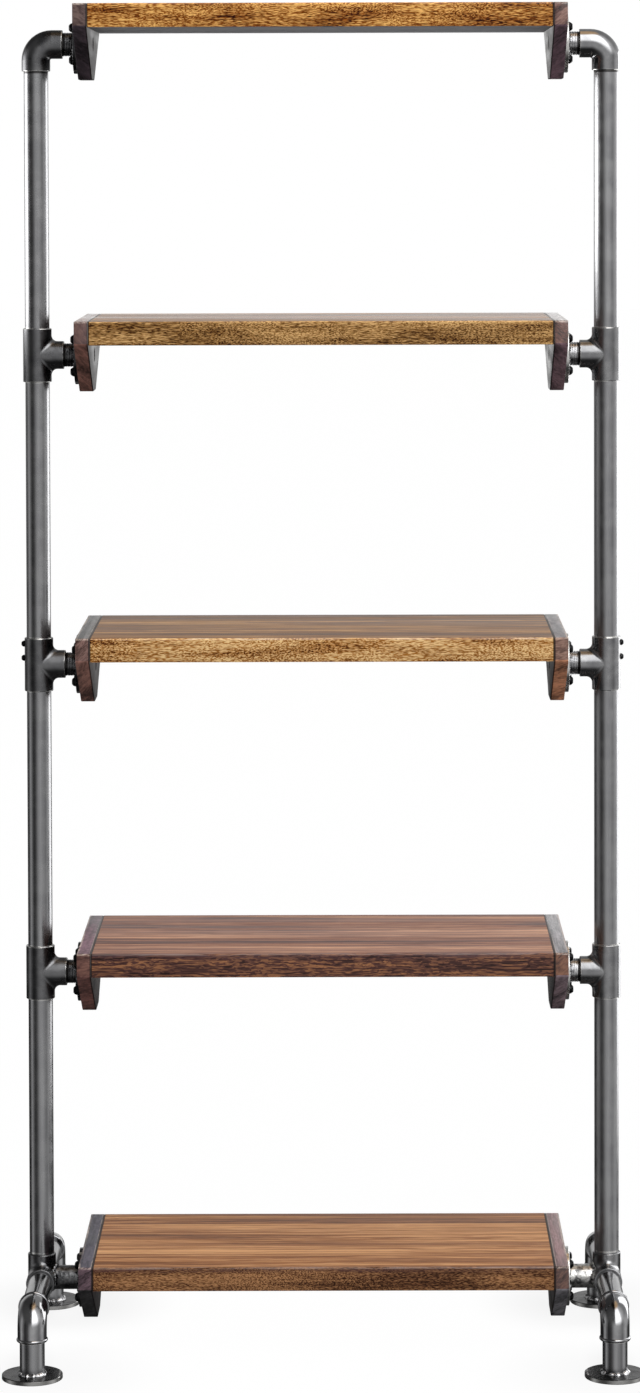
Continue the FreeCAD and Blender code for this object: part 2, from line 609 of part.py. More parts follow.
# Dome-head screws through the plates into the brackets
screws = new_body("plate_screws", solids=len(SIDES) * len(LEVELS) * SCREWS_PER_PLATE)
screw_at = {
    "x": f"-{PLATE_FACE}",
    "y": f"{SCREW_CIRCLE_RADIUS} * cos({SCREW_START})",
    "z": f"{SCREW_CIRCLE_RADIUS} * sin({SCREW_START})",
}
boss(screws, "shank", "x", "Sizes.screw_diameter / 2", "Sizes.screw_length", **screw_at)
dome(screws, "head", "-x", "Sizes.screw_head_diameter", "Sizes.screw_head_height", **screw_at)
polar_whole(screws, SCREWS_PER_PLATE)
row(screws, "levels", "Z_Axis", "Sizes.shelf_pitch", len(LEVELS))
mirror(screws, "sides", "YZ_Plane")
place(screws, z=BASE_AXIS)

# Set screws in the outer wall of the middle tees, bearing on the upper post
set_screws = new_body("set_screws", solids=2 * len(SIDES))
set_shank_length = f"{FITTING_RADIUS} - {PIPE_RADIUS}"
set_head_x = f"-{POST_X} - {FITTING_RADIUS}"
boss(set_screws, "shank", "x", "Sizes.set_screw_diameter / 2", set_shank_length, x=set_head_x)
dome(set_screws, "head", "-x", "Sizes.set_screw_head_diameter", "Sizes.set_screw_head_height", x=set_head_x)
row(set_screws, "pair", "Z_Axis", "Sizes.set_screw_spacing", 2)
mirror(set_screws, "sides", "YZ_Plane")
place(set_screws, z=f"{level_height(LEVELS.index('middle'))} + {SET_SCREW_LOW}")

# Dowels that join the boards to their brackets
dowels = new_body("bracket_dowels", solids=len(SIDES) * len(LEVELS) * DOWELS_PER_JOINT)
dowel_start = "-Sizes.board_length / 2 - Sizes.dowel_in_bracket"
dowel_length = "Sizes.dowel_in_board + Sizes.dowel_in_bracket"
first_dowel = f"-{(DOWELS_PER_JOINT - 1) / 2} * Sizes.dowel_spacing"
boss(dowels, "dowel", "x", "Sizes.dowel_diameter / 2", dowel_length, x=dowel_start, y=first_dowel)
row(dowels, "joint", "Y_Axis", "Sizes.dowel_spacing", DOWELS_PER_JOINT)
row(dowels, "levels", "Z_Axis", "Sizes.shelf_pitch", len(LEVELS))
mirror(dowels, "sides", "YZ_Plane")
place(dowels, z=f"{BASE_AXIS} + {BOARD_MIDDLE}")

# Every object has to be sound before anything is written
doc.recompute()
for item in doc.Objects:
    if "Invalid" in item.State or "Error" in item.State:
        raise RuntimeError(f"{item.Label} failed: {item.State}")
for body, solids in sub_parts:
    shape = body.Shape
    if shape.isNull() or not shape.isValid():
        raise RuntimeError(f"{body.Label} has no valid shape")
    if len(shape.Solids) != solids:
        raise RuntimeError(f"{body.Label} has {len(shape.Solids)} solids, not {solids}")

os.makedirs("parts", exist_ok=True)
for body, solids in sub_parts:
    body.Shape.exportStep(f"parts/{body.Label}.step")
print(len(sub_parts), "sub-parts written")
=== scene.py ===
# %% [markdown]
# # A pipe-post etagere
# Five wooden shelves hang between two posts of dark steel pipe. The solid parts come from the imported CAD
# model. It is loaded first, as a fixed frame in metres, and every new piece takes its place from the box
# of a node, so that nothing has to be fitted by eye.

# %% Load the frame
import math
import random

import bmesh
import bpy
from mathutils import Matrix, Vector, noise


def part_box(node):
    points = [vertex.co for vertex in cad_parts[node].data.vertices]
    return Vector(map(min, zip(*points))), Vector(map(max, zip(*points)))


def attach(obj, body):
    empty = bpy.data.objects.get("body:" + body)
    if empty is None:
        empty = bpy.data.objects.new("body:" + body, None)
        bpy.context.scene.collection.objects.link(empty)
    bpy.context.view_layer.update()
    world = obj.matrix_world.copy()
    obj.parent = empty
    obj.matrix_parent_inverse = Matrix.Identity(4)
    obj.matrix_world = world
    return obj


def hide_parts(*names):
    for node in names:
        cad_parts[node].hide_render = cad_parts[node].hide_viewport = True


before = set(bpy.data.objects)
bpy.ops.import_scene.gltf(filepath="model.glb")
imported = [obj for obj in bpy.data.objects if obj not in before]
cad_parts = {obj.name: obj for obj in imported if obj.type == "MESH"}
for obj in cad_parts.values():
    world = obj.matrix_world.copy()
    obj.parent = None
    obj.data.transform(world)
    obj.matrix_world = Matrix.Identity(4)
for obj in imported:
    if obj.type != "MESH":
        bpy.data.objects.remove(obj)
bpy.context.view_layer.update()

LEVELS = ["bottom", "lower", "middle", "upper", "top"]
SIDES = ["left", "right"]
FOOT_ENDS = ["front", "rear"]
MILLIMETRE = 0.001


def node_box(name):
    """The lowest and highest corner of a CAD node, as vectors."""
    low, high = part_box(name)
    return Vector(low), Vector(high)


# %% [markdown]
# ## Camera
# The picture was taken from about eye height, with a long lens and the sensor shifted, so that the posts
# stay nearly upright. A camera could be turned to look at the unit's middle, but then the posts would
# converge. So the lens looks almost level, two degrees down, and a vertical shift brings the unit into
# the frame.

# %% Camera
IMAGE_WIDTH, IMAGE_HEIGHT = 640, 1393
FOCAL_PIXELS = 4281
PRINCIPAL_POINT = (350.2, 307.5)
SENSOR_WIDTH = 36.0
VIEW_DEPTH = 200.0
CAMERA_PLACE = Vector((0.039, -5.836, 1.6226))
CAMERA_PITCH = math.radians(2.0)
CAMERA_ROLL = -0.0026
QUARTER_TURN = math.radians(90)

lens = bpy.data.cameras.new("camera")
lens.sensor_width = SENSOR_WIDTH
lens.lens = FOCAL_PIXELS * SENSOR_WIDTH / IMAGE_HEIGHT
lens.shift_x = (IMAGE_WIDTH / 2 - PRINCIPAL_POINT[0]) / IMAGE_HEIGHT
lens.shift_y = (PRINCIPAL_POINT[1] - IMAGE_HEIGHT / 2) / IMAGE_HEIGHT
lens.clip_end = VIEW_DEPTH
camera = bpy.data.objects.new("camera", lens)
bpy.context.scene.collection.objects.link(camera)
level_view = Matrix.Rotation(QUARTER_TURN - CAMERA_PITCH, 4, "X")
camera.matrix_world = Matrix.Translation(CAMERA_PLACE) @ level_view @ Matrix.Rotation(CAMERA_ROLL, 4, "Z")
bpy.context.scene.camera = camera
bpy.context.scene.view_settings.view_transform = "Standard"
print("lens:", round(lens.lens, 1), "mm, shift:", round(lens.shift_x, 4), round(lens.shift_y, 4))


# %% [markdown]
# ## Helpers for materials
# A procedural finish is a small graph of nodes. Written out node by node, a graph hides what it does. So
# one helper adds a node and fills its sockets with values or links, and others stand for one step each: a
# sum, a mix, a noise or a ramp. Colours are written as they look on a screen, from 0 to 255, and turned
# to linear values.

# %% Node helpers
def screen_colour(red, green, blue):
    """A linear colour from the values that a screen shows."""
    def linear(value):
        share = value / 255
        return share / 12.92 if share <= 0.04045 else ((share + 0.055) / 1.055) ** 2.4
    return (linear(red), linear(green), linear(blue), 1.0)


def fill(tree, socket, value):
    """Gives a socket a value, or a link if the value is another socket."""
    if isinstance(value, bpy.types.NodeSocket):
        tree.links.new(value, socket)
    else:
        socket.default_value = value


def add(tree, kind, inputs=None, **settings):
    """Adds a node, sets its properties and fills its sockets."""
    node = tree.nodes.new(f"ShaderNode{kind}")
    for name, value in settings.items():
        setattr(node, name, value)
    for key, value in (inputs or {}).items():
        fill(tree, node.inputs[key], value)
    return node


def maths(tree, operation, first, second=0.0, third=0.0):
    """One step of arithmetic; returns its result socket."""
    return add(tree, "Math", {0: first, 1: second, 2: third}, operation=operation).outputs[0]


def between(tree, mask, low, high):
    """A mask from 0 to 1, spread evenly between two values."""
    return maths(tree, "MULTIPLY_ADD", mask, high - low, low)


def vector_maths(tree, operation, first, second):
    """One step of arithmetic on two vectors; returns the vector socket."""
    return add(tree, "VectorMath", {0: first, 1: second}, operation=operation).outputs[0]


def split_axes(tree, place):
    """The coordinates of a place, by the names of their axes."""
    return add(tree, "SeparateXYZ", {0: place}).outputs


def join_axes(tree, x, y, z):
    """A vector from three values or sockets."""
    return add(tree, "CombineXYZ", {"X": x, "Y": y, "Z": z}).outputs[0]


def blend_colours(tree, factor, first, second):
    """Mixes two colours by a mask; returns the colour socket."""
    # A Mix node has sockets for every type of data: 6, 7 and 2 are those for colours.
    node = add(tree, "Mix", {0: factor, 6: first, 7: second}, data_type="RGBA")
    return node.outputs[2]


def spread(tree, value, start, end, low=0.0, high=1.0):
    """Spreads a stretch of a value smoothly over another range."""
    inputs = {0: value, 1: start, 2: end, 3: low, 4: high}
    return add(tree, "MapRange", inputs, interpolation_type="SMOOTHSTEP").outputs[0]


def noise_at(tree, place, scale=1.0, detail=2.0, roughness=0.5):
    """Cloudy noise: the larger the scale, the finer the pattern."""
    inputs = {"Vector": place, "Scale": scale, "Detail": detail, "Roughness": roughness}
    return add(tree, "TexNoise", inputs).outputs["Fac"]


def stretched_noise(tree, place, stretch, **settings):
    """Noise with a scale for each axis."""
    return noise_at(tree, vector_maths(tree, "MULTIPLY", place, stretch), **settings)


def colour_ramp(tree, value, stops):
    """A ramp through colours; each stop is its place and its colour."""
    node = add(tree, "ValToRGB", {0: value})
    elements = node.color_ramp.elements
    while len(elements) < len(stops):
        elements.new(1.0)
    for element, (place, colour) in zip(elements, stops):
        element.position = place
        element.color = colour
    return node.outputs["Color"]


print("a screen's middle grey is", round(screen_colour(128, 128, 128)[0], 3), "in linear light")

# %% Finish and group helpers
def new_finish(name, **sockets):
    """A material with one Principled shader, whose constant sockets are set straight on it."""
    material = bpy.data.materials.new(name)
    material.use_nodes = True
    shader = material.node_tree.nodes["Principled BSDF"]
    for key, value in sockets.items():
        shader.inputs[key.replace("_", " ")].default_value = value
    return material, material.node_tree, shader


def new_group(name, vectors, values, outputs, kind="Float"):
    """An empty node group with named sockets; returns it with its input and output nodes."""
    group = bpy.data.node_groups.new(name, "ShaderNodeTree")
    sockets = [(socket, "INPUT", "Vector") for socket in vectors]
    sockets += [(socket, "INPUT", "Float") for socket in values]
    sockets += [(socket, "OUTPUT", kind) for socket in outputs]
    for socket, end, form in sockets:
        group.interface.new_socket(socket, in_out=end, socket_type=f"NodeSocket{form}")
    return group, group.nodes.new("NodeGroupInput"), group.nodes.new("NodeGroupOutput")


def give_out(group, result, sockets):
    """Links sockets in a group to the outputs of the same names."""
    for name, socket in sockets.items():
        group.links.new(socket, result.inputs[name])


def place_group(tree, group, inputs):
    """Puts a node group into a material with its own values; returns its outputs."""
    node = tree.nodes.new("ShaderNodeGroup")
    node.node_tree = group
    for key, value in inputs.items():
        fill(tree, node.inputs[key], value)
    return node.outputs


def bump(tree, shader, height, strength, distance):
    """Feeds a height to the shader's normal."""
    node = add(tree, "Bump", {"Height": height, "Strength": strength, "Distance": distance})
    tree.links.new(node.outputs[0], shader.inputs["Normal"])


def object_place(tree):
    """Object coordinates in metres: the same as the frame's, because every piece sits at the origin."""
    return add(tree, "TexCoord").outputs["Object"]


print("materials before the first finish:", len(bpy.data.materials))


# %% [markdown]
# ## Helpers for meshes
# Every new piece ends the same way: doubles merged, normals turned outwards, faces shaded smooth with the
# real arrises kept sharp, and the object put in the scene. It then rides on the body of the frame, the CAD
# nodes that it stands for are hidden, and it takes its finishes. Small things that belong together, such
# as screws, are first made one by one and then joined into one mesh.

# %% Mesh helpers
MERGE_DISTANCE = 0.000001
SHARP_ANGLE = math.radians(40)
HALF_TURN = math.radians(180)
FULL_TURN = math.radians(360)
X_AXIS = (1, 0, 0)
ORIGIN = (0, 0, 0)


def finish_piece(shape, name, finishes, nodes):
    """Turns a bmesh into a riding piece that replaces some CAD nodes."""
    bmesh.ops.remove_doubles(shape, verts=shape.verts, dist=MERGE_DISTANCE)
    bmesh.ops.recalc_face_normals(shape, faces=shape.faces)
    for face in shape.faces:
        face.smooth = True
    mesh = bpy.data.meshes.new(name)
    shape.to_mesh(mesh)
    shape.free()
    mesh.set_sharp_from_angle(angle=SHARP_ANGLE)
    for finish in finishes:
        mesh.materials.append(finish)
    piece = bpy.data.objects.new(name, mesh)
    bpy.context.scene.collection.objects.link(piece)
    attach(piece, "root")
    if nodes:
        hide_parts(*nodes)
    print(name, len(mesh.polygons), "faces")
    return piece


def bevel(shape, items, size, segments, affect="EDGES"):
    """Rounds edges or corners with the editor's own profile."""
    bmesh.ops.bevel(shape, geom=items, offset=size, offset_type="OFFSET", affect=affect,
                    segments=segments, profile=0.5, material=-1)


def move_shape(shape, matrix):
    """Moves and turns a whole shape."""
    bmesh.ops.transform(shape, matrix=matrix, verts=shape.verts)


def join_shapes(shapes):
    """Puts several shapes into one."""
    whole = bmesh.new()
    for shape in shapes:
        carrier = bpy.data.meshes.new("carrier")
        shape.to_mesh(carrier)
        shape.free()
        whole.from_mesh(carrier)
        bpy.data.meshes.remove(carrier)
    return whole


def spin_section(shape, points, steps, closed):
    """Spins an outline all the way round the X axis."""
    corners = [shape.verts.new(point) for point in points]
    pairs = list(zip(corners, corners[1:]))
    if closed:
        pairs.append((corners[-1], corners[0]))
    edges = [shape.edges.new(pair) for pair in pairs]
    bmesh.ops.spin(shape, geom=corners + edges, cent=ORIGIN, axis=X_AXIS, dvec=ORIGIN, angle=FULL_TURN,
                   steps=steps, use_merge=True)
    bmesh.ops.remove_doubles(shape, verts=shape.verts, dist=MERGE_DISTANCE)


def add_ring(shape, centre, radius, segments):
    """A circle that faces along X; returns its edges."""
    turn = Matrix.Translation(centre) @ Matrix.Rotation(QUARTER_TURN, 4, "Y")
    corners = bmesh.ops.create_circle(shape, segments=segments, radius=radius, matrix=turn)["verts"]
    return list(dict.fromkeys(edge for corner in corners for edge in corner.link_edges))


def corners_of(items):
    """The vertices among the items that an operator gives back."""
    return [item for item in items if isinstance(item, bmesh.types.BMVert)]


print("doubles merged under", MERGE_DISTANCE, "m")


# %% [markdown]
# ## Timber figure
# The boards are glued up from staves, and every stave shows its own stripes, fine grain lines and short
# dark pores. An image would repeat, and would need a map for every piece. Solid noise, stretched along
# the grain, runs through a whole plank without a seam. One node group makes the masks for all the wood,
# and each board and bracket then mixes its own colours from them.

# %% Timber figure
HALF_DEPTH = node_box("middle_shelf_board")[1].y
# Scales of patterns along the grain and across it: the larger a number, the finer the pattern.
SWAY = (16.0, 30.0, 30.0)
ZIGZAG = (75.0, 110.0, 110.0)
GRAIN_LINES = (9.0, 420.0, 420.0)
STREAK_ZONES = (11.0, 22.0, 22.0)
LONG_FLECKS = (0.4, 1.25, 1.25)
STRIPES_ALONG = 1.4
CLOUDS_ACROSS = 40.0
ZIGZAG_SHARE = 0.6
STAVE_SHIFT = 4.0
JOINT_SHARE = 0.012
# The stretch of each noise that is spread over its mask.
MASK_RANGE = (0.32, 0.68)
FLECK_RANGE = (0.4, 0.6)
ZONE_RANGE = (0.42, 0.6)


def swayed(tree, place, stretch, reach):
    """Coordinates that sway across the grain, for wavy lines."""
    sway = maths(tree, "SUBTRACT", stretched_noise(tree, place, stretch), 0.5)
    swing = maths(tree, "MULTIPLY", sway, reach)
    return vector_maths(tree, "ADD", place, join_axes(tree, 0.0, swing, swing))


def build_timber_figure():
    """Masks for wood whose grain runs along the first coordinate."""
    group, given, result = new_group(
        "timber_figure", ["Place"],
        ["Stave Width", "Seed", "Cloud Length", "Stripe Width", "Fleck Length", "Fleck Width", "Waviness"],
        ["Stave Tone", "Cloud", "Stripe", "Grain", "Fleck", "Joint"])
    place = given.outputs["Place"]
    waviness = given.outputs["Waviness"]

    def lines_a_metre(width):
        """The scale of a pattern from the width or length of its lines."""
        return maths(group, "DIVIDE", 1.0, given.outputs[width])

    across = maths(group, "ADD", split_axes(group, place)["Y"], HALF_DEPTH)
    staves = maths(group, "DIVIDE", across, given.outputs["Stave Width"])
    number = maths(group, "ADD", maths(group, "FLOOR", staves), given.outputs["Seed"])
    draw = add(group, "TexWhiteNoise", {"W": number}, noise_dimensions="1D").outputs
    shift = add(group, "VectorMath", {0: draw["Color"], "Scale": STAVE_SHIFT}, operation="SCALE").outputs[0]
    own = vector_maths(group, "ADD", place, shift)

    wavy = swayed(group, own, SWAY, waviness)
    zigzag = swayed(group, wavy, ZIGZAG, maths(group, "MULTIPLY", waviness, ZIGZAG_SHARE))
    clouds = join_axes(group, lines_a_metre("Cloud Length"), CLOUDS_ACROSS, CLOUDS_ACROSS)
    cloud = stretched_noise(group, own, clouds)
    stripes = lines_a_metre("Stripe Width")
    stripe_scale = join_axes(group, STRIPES_ALONG, stripes, stripes)
    stripe = stretched_noise(group, wavy, stripe_scale, detail=4.0, roughness=0.7)
    grain = stretched_noise(group, wavy, GRAIN_LINES, roughness=0.6)
    flecks = lines_a_metre("Fleck Width")
    fleck_scale = join_axes(group, lines_a_metre("Fleck Length"), flecks, flecks)
    dots = stretched_noise(group, zigzag, fleck_scale, detail=1.0)
    long_scale = vector_maths(group, "MULTIPLY", fleck_scale, LONG_FLECKS)
    streaks = stretched_noise(group, wavy, long_scale, detail=1.0)
    zone = spread(group, stretched_noise(group, own, STREAK_ZONES), *ZONE_RANGE)
    streaky = maths(group, "MULTIPLY", maths(group, "SUBTRACT", streaks, dots), zone)
    fleck = maths(group, "ADD", dots, streaky)

    part = maths(group, "FRACT", staves)
    edge = maths(group, "MINIMUM", part, maths(group, "SUBTRACT", 1.0, part))
    give_out(group, result, {
        "Stave Tone": draw["Value"],
        "Cloud": spread(group, cloud, *MASK_RANGE),
        "Stripe": spread(group, stripe, *MASK_RANGE),
        "Grain": spread(group, grain, *MASK_RANGE),
        "Fleck": spread(group, fleck, *FLECK_RANGE),
        "Joint": spread(group, edge, 0.0, JOINT_SHARE, 1.0, 0.0),
    })
    return group


timber_figure = build_timber_figure()
print("timber figure:", len(timber_figure.nodes), "nodes")


# %% [markdown]
# ## Wood finishes
# The wood is oiled, and its upper arrises get a painted highlight, a pale line for the light that the eased
# edges catch. On the two lowest boards a stained band runs along the upper arris, painted shade darkens the
# groove beside each bracket, and grime darkens the joints between staves. All the wood could share one
# brown, but then the shelves would look like plastic film. So one function mixes a palette of three
# colours by stripe, grain, fleck, cloud and stave, and then lays stain, the painted highlight, the painted
# shade and grime over it, each by its own mask.

# %% Marks on the wood
GROOVE_PLACE = node_box("middle_shelf_board")[1].x
TOP_HEIGHT = node_box("bottom_shelf_board")[1].z
SHELF_PITCH = node_box("lower_shelf_board")[1].z - TOP_HEIGHT
bracket_low, bracket_high = node_box("bottom_right_bracket")
BRACKET_PLACE = (bracket_low.x + bracket_high.x) / 2
HALF_BRACKET = (bracket_high.x - bracket_low.x) / 2
RING_FLATTENING = 0.3


def distance_to(tree, value, target):
    """How far the size of a coordinate is from a target."""
    return maths(tree, "ABSOLUTE", maths(tree, "SUBTRACT", maths(tree, "ABSOLUTE", value), target))


def gap_to_levels(tree, height, first):
    """How far a height is from the nearest of the levels that repeat with the shelves."""
    return maths(tree, "PINGPONG", maths(tree, "SUBTRACT", height, first), SHELF_PITCH / 2)


def arris_gap(tree, axes, is_bracket):
    """How far a place is from the nearest upper arris of its board or bracket."""
    gap_y = distance_to(tree, axes["Y"], HALF_DEPTH)
    gap_z = gap_to_levels(tree, axes["Z"], TOP_HEIGHT)
    gap = maths(tree, "ADD", gap_y, gap_z)
    if is_bracket:
        gap_x = maths(tree, "SUBTRACT", HALF_BRACKET, distance_to(tree, axes["X"], BRACKET_PLACE))
        gap = maths(tree, "MINIMUM", gap, maths(tree, "ADD", gap_x, gap_z))
    return gap


def ring_place(tree, axes, slant):
    """Grain that runs front to rear, with growth rings that slant across the front."""
    across = maths(tree, "MULTIPLY_ADD", axes["X"], slant, axes["Z"])
    along = maths(tree, "MULTIPLY_ADD", axes["Z"], -slant, axes["X"])
    return join_axes(tree, axes["Y"], across, maths(tree, "MULTIPLY", along, RING_FLATTENING))


print("shelves every", round(SHELF_PITCH, 4), "m, brackets", round(2 * HALF_BRACKET, 4), "m thick")

# %% Wood finish
TONE_MASKS = ("Stripe", "Grain", "Fleck", "Cloud", "Stave Tone")
RAMP_PLACES = (0.2, 0.5, 0.8)
BAND_REACH = (3.5 * MILLIMETRE, 9.0 * MILLIMETRE)
BAND_STRENGTH = 0.8
# The pale colour along the upper arrises is a painted highlight for the light that the eased edges catch.
ARRIS_HIGHLIGHT_REACH = (1.4 * MILLIMETRE, 3.2 * MILLIMETRE)
PAINTED_ARRIS_HIGHLIGHT = screen_colour(206, 190, 178)
# The groove beside each bracket gets painted shade, where its crease falls in shadow.
GROOVE_REACH = (1.1 * MILLIMETRE, 2.2 * MILLIMETRE)
GROOVE_SHADE = 0.92
JOINT_SHADE = 0.3
# A near black for dark joints between staves and for painted shade in grooves and seams.
GRIME_AND_PAINTED_SHADE = screen_colour(20, 14, 13)
GRAIN_RELIEF = 0.5
WOOD_RELIEF = 0.2
PORE_DEPTH = 0.3 * MILLIMETRE


def wood_finish(name, dark, middle, light, seed, shares, stave=0.059, cloud=1 / 6, stripe=1 / 75,
                fleck=(0.0017, 0.0009), waviness=0.006, slant=None, gloss=0.2, roughness=(0.36, 0.5),
                arris_highlight=0.3, band=None):
    """A wood with its own palette; shares say how much each of the tone's masks adds to it."""
    material, tree, shader = new_finish(name, Specular_IOR_Level=gloss)
    place = object_place(tree)
    axes = split_axes(tree, place)
    if slant is not None:
        place = ring_place(tree, axes, slant)
    figure = place_group(tree, timber_figure, {
        "Place": place, "Stave Width": stave, "Seed": seed, "Cloud Length": cloud, "Stripe Width": stripe,
        "Fleck Length": fleck[0], "Fleck Width": fleck[1], "Waviness": waviness})
    tone = 0.0
    for mask, share in zip(TONE_MASKS, shares):
        tone = maths(tree, "MULTIPLY_ADD", figure[mask], share, tone)
    colour = colour_ramp(tree, tone, list(zip(RAMP_PLACES, (dark, middle, light))))
    gap = arris_gap(tree, axes, slant is not None)
    if band:
        stain = spread(tree, gap, *BAND_REACH, BAND_STRENGTH, 0.0)
        colour = blend_colours(tree, maths(tree, "MULTIPLY", stain, figure["Grain"]), colour, band)
    # Painted highlight: the upper arrises turn pale.
    painted_highlight = spread(tree, gap, *ARRIS_HIGHLIGHT_REACH, arris_highlight, 0.0)
    colour = blend_colours(tree, maths(tree, "MULTIPLY", painted_highlight, figure["Grain"]), colour, PAINTED_ARRIS_HIGHLIGHT)
    # Painted shade in the groove beside a bracket, and dark joints between staves.
    groove_shade = spread(tree, distance_to(tree, axes["X"], GROOVE_PLACE), *GROOVE_REACH, GROOVE_SHADE, 0.0)
    joint = maths(tree, "MULTIPLY", figure["Joint"], JOINT_SHADE)
    colour = blend_colours(tree, maths(tree, "MAXIMUM", groove_shade, joint), colour, GRIME_AND_PAINTED_SHADE)
    tree.links.new(colour, shader.inputs["Base Color"])
    tree.links.new(between(tree, figure["Cloud"], *roughness), shader.inputs["Roughness"])
    relief = maths(tree, "MULTIPLY_ADD", figure["Grain"], GRAIN_RELIEF, figure["Fleck"])
    bump(tree, shader, relief, WOOD_RELIEF, PORE_DEPTH)
    return material


def palette(colours):
    """Linear colours from screen colours."""
    return [screen_colour(*colour) for colour in colours]


print("marks: stain to", BAND_REACH[1], "m and wear to", ARRIS_HIGHLIGHT_REACH[1], "m from an arris")

# %% [markdown]
# ## Finishes of the boards
# A board's top shows long quiet stripes. Its sawn edges took more oil in the pores and show short dark
# flecks on gold, or streaks, and its underside is painted a pale grey for the light that the white floor
# throws up onto it. One finish for all five would be quick, but no two planks are alike. So each board has
# its own colours and seed, and a row of its own for the edge. The upper board is the glossiest, and shows
# a pale veil when it is seen almost edge on.

# %% Board finishes
FIRST_BOARD_SEED = 5.0
BOARD_SEED_STEP = 12.0
BOARD_TOPS = {
    "bottom": ((76, 42, 26), (158, 106, 68), (224, 170, 120)),
    "lower": ((62, 38, 38), (154, 108, 88), (226, 176, 142)),
    "middle": ((50, 34, 26), (128, 93, 66), (214, 170, 122)),
    "upper": ((54, 32, 16), (138, 100, 68), (216, 174, 136)),
    "top": ((88, 58, 40), (142, 102, 70), (176, 132, 94)),
}
BOARD_EDGES = {
    "bottom": ((50, 26, 10), (120, 79, 52), (192, 140, 94)),
    "lower": ((40, 23, 20), (94, 60, 53), (170, 116, 78)),
    "middle": ((64, 18, 0), (184, 121, 54), (252, 213, 152)),
    "upper": ((56, 26, 0), (156, 110, 56), (236, 190, 126)),
    "top": ((34, 4, 0), (158, 86, 22), (255, 198, 114)),
}
# The underside's pale grey is painted light, for the glow that the white floor throws up onto it.
UNDERSIDE_PAINTED_FLOOR_LIGHT = ((112, 116, 124), (146, 150, 158), (170, 174, 180))
EDGE_BANDS = {"bottom": screen_colour(92, 62, 58), "lower": screen_colour(84, 60, 66)}
QUIET = (0.28, 0.2, 0.04, 0.26, 0.22)
FLECKED = (0.14, 0.16, 0.44, 0.26, 0.0)
FIGURED = (0.24, 0.1, 0.4, 0.26, 0.0)
STREAKED = (0.3, 0.25, 0.3, 0.15, 0.0)
TOP_FIGURE = {"shares": QUIET, "cloud": 0.5, "stripe": 0.005, "fleck": (0.03, 0.0016), "waviness": 0.004}
TOP_SHINE = {
    "bottom": {"gloss": 0.05, "roughness": (0.4, 0.5)},
    "lower": {"gloss": 0.1, "roughness": (0.36, 0.5)},
    "middle": {"gloss": 0.1, "roughness": (0.36, 0.5)},
    "upper": {"gloss": 0.8, "roughness": (0.22, 0.4)},
    "top": {"gloss": 0.12, "roughness": (0.36, 0.5)},
}
# The last value of each row is the strength of the painted highlight along the upper arrises.
EDGE_FIGURES = {
    "bottom": {"shares": FLECKED, "fleck": (0.0022, 0.0009), "waviness": 0.009, "gloss": 0.1, "arris_highlight": 0.35},
    "lower": {"shares": STREAKED, "fleck": (0.016, 0.0019), "waviness": 0.012, "gloss": 0.2, "arris_highlight": 0.3},
    "middle": {"shares": FIGURED, "fleck": (0.0032, 0.0011), "waviness": 0.009, "gloss": 0.1, "arris_highlight": 0.7},
    "upper": {"shares": FLECKED, "fleck": (0.0032, 0.0008), "waviness": 0.009, "gloss": 0.1, "arris_highlight": 0.1},
    "top": {"shares": FIGURED, "fleck": (0.0032, 0.001), "waviness": 0.009, "gloss": 0.1, "arris_highlight": 0.2},
}

board_finishes = {}
for row, level in enumerate(LEVELS):
    seed = FIRST_BOARD_SEED + BOARD_SEED_STEP * row
    band = EDGE_BANDS.get(level)
    top = wood_finish(f"{level}_board_top", *palette(BOARD_TOPS[level]), seed, band=band,
                      **TOP_FIGURE, **TOP_SHINE[level])
    edge = wood_finish(f"{level}_board_edge", *palette(BOARD_EDGES[level]), seed, band=band,
                       **EDGE_FIGURES[level])
    underside = wood_finish(f"{level}_board_underside", *palette(UNDERSIDE_PAINTED_FLOOR_LIGHT), seed, QUIET, gloss=0.25,
                            roughness=(0.4, 0.5))
    board_finishes[level] = [top, edge, underside]
print("board finishes:", sum(len(row) for row in board_finishes.values()))


# %% [markdown]
# ## Shelf boards
# A board is a plank of glued staves, with its long upper edges eased so that they catch the light and a
# small arris on every other edge. A cube scaled to the node's box and bevelled twice gives exactly that:
# a wide round on the two long upper edges first, then a narrow one on the ends and the lower edges. Faces
# that look up get the top's finish and faces that look down the underside's. The boards are left out of
# reflections, because the real pipes show no brown beside them.

# %% Shelf boards
EASED_EDGE = 3.0 * MILLIMETRE
EASED_SEGMENTS = 6
ARRIS = 0.9 * MILLIMETRE
ARRIS_SEGMENTS = 2
CORNER_ANGLE = math.radians(60)
FLAT_FACES = 0.95
ALONG_SHARE = 0.9


def lies_along_x(edge):
    """True on edges that run the length of a shelf."""
    run = edge.verts[1].co - edge.verts[0].co
    return abs(run.x) > ALONG_SHARE * run.length


def make_board(level):
    """One shelf board in its CAD node's box."""
    low, high = node_box(f"{level}_shelf_board")
    plank = bmesh.new()
    bmesh.ops.create_cube(plank, size=1.0)
    bmesh.ops.scale(plank, vec=high - low, verts=plank.verts)
    bmesh.ops.translate(plank, vec=(low + high) / 2, verts=plank.verts)
    middle = (low.z + high.z) / 2
    eased = [edge for edge in plank.edges if lies_along_x(edge) and edge.verts[0].co.z > middle]
    bevel(plank, eased, EASED_EDGE, EASED_SEGMENTS)
    others = [edge for edge in plank.edges if edge.is_manifold and edge.calc_face_angle() > CORNER_ANGLE]
    bevel(plank, others, ARRIS, ARRIS_SEGMENTS)
    plank.normal_update()
    for face in plank.faces:
        face.material_index = 1
        # Faces that look down take the underside's painted grey.
        if abs(face.normal.z) > FLAT_FACES:
            face.material_index = 0 if face.normal.z > 0 else 2
    return finish_piece(plank, f"{level}_board", board_finishes[level], [f"{level}_shelf_board"])


for level in LEVELS:
    board = make_board(level)
    board.visible_glossy = False
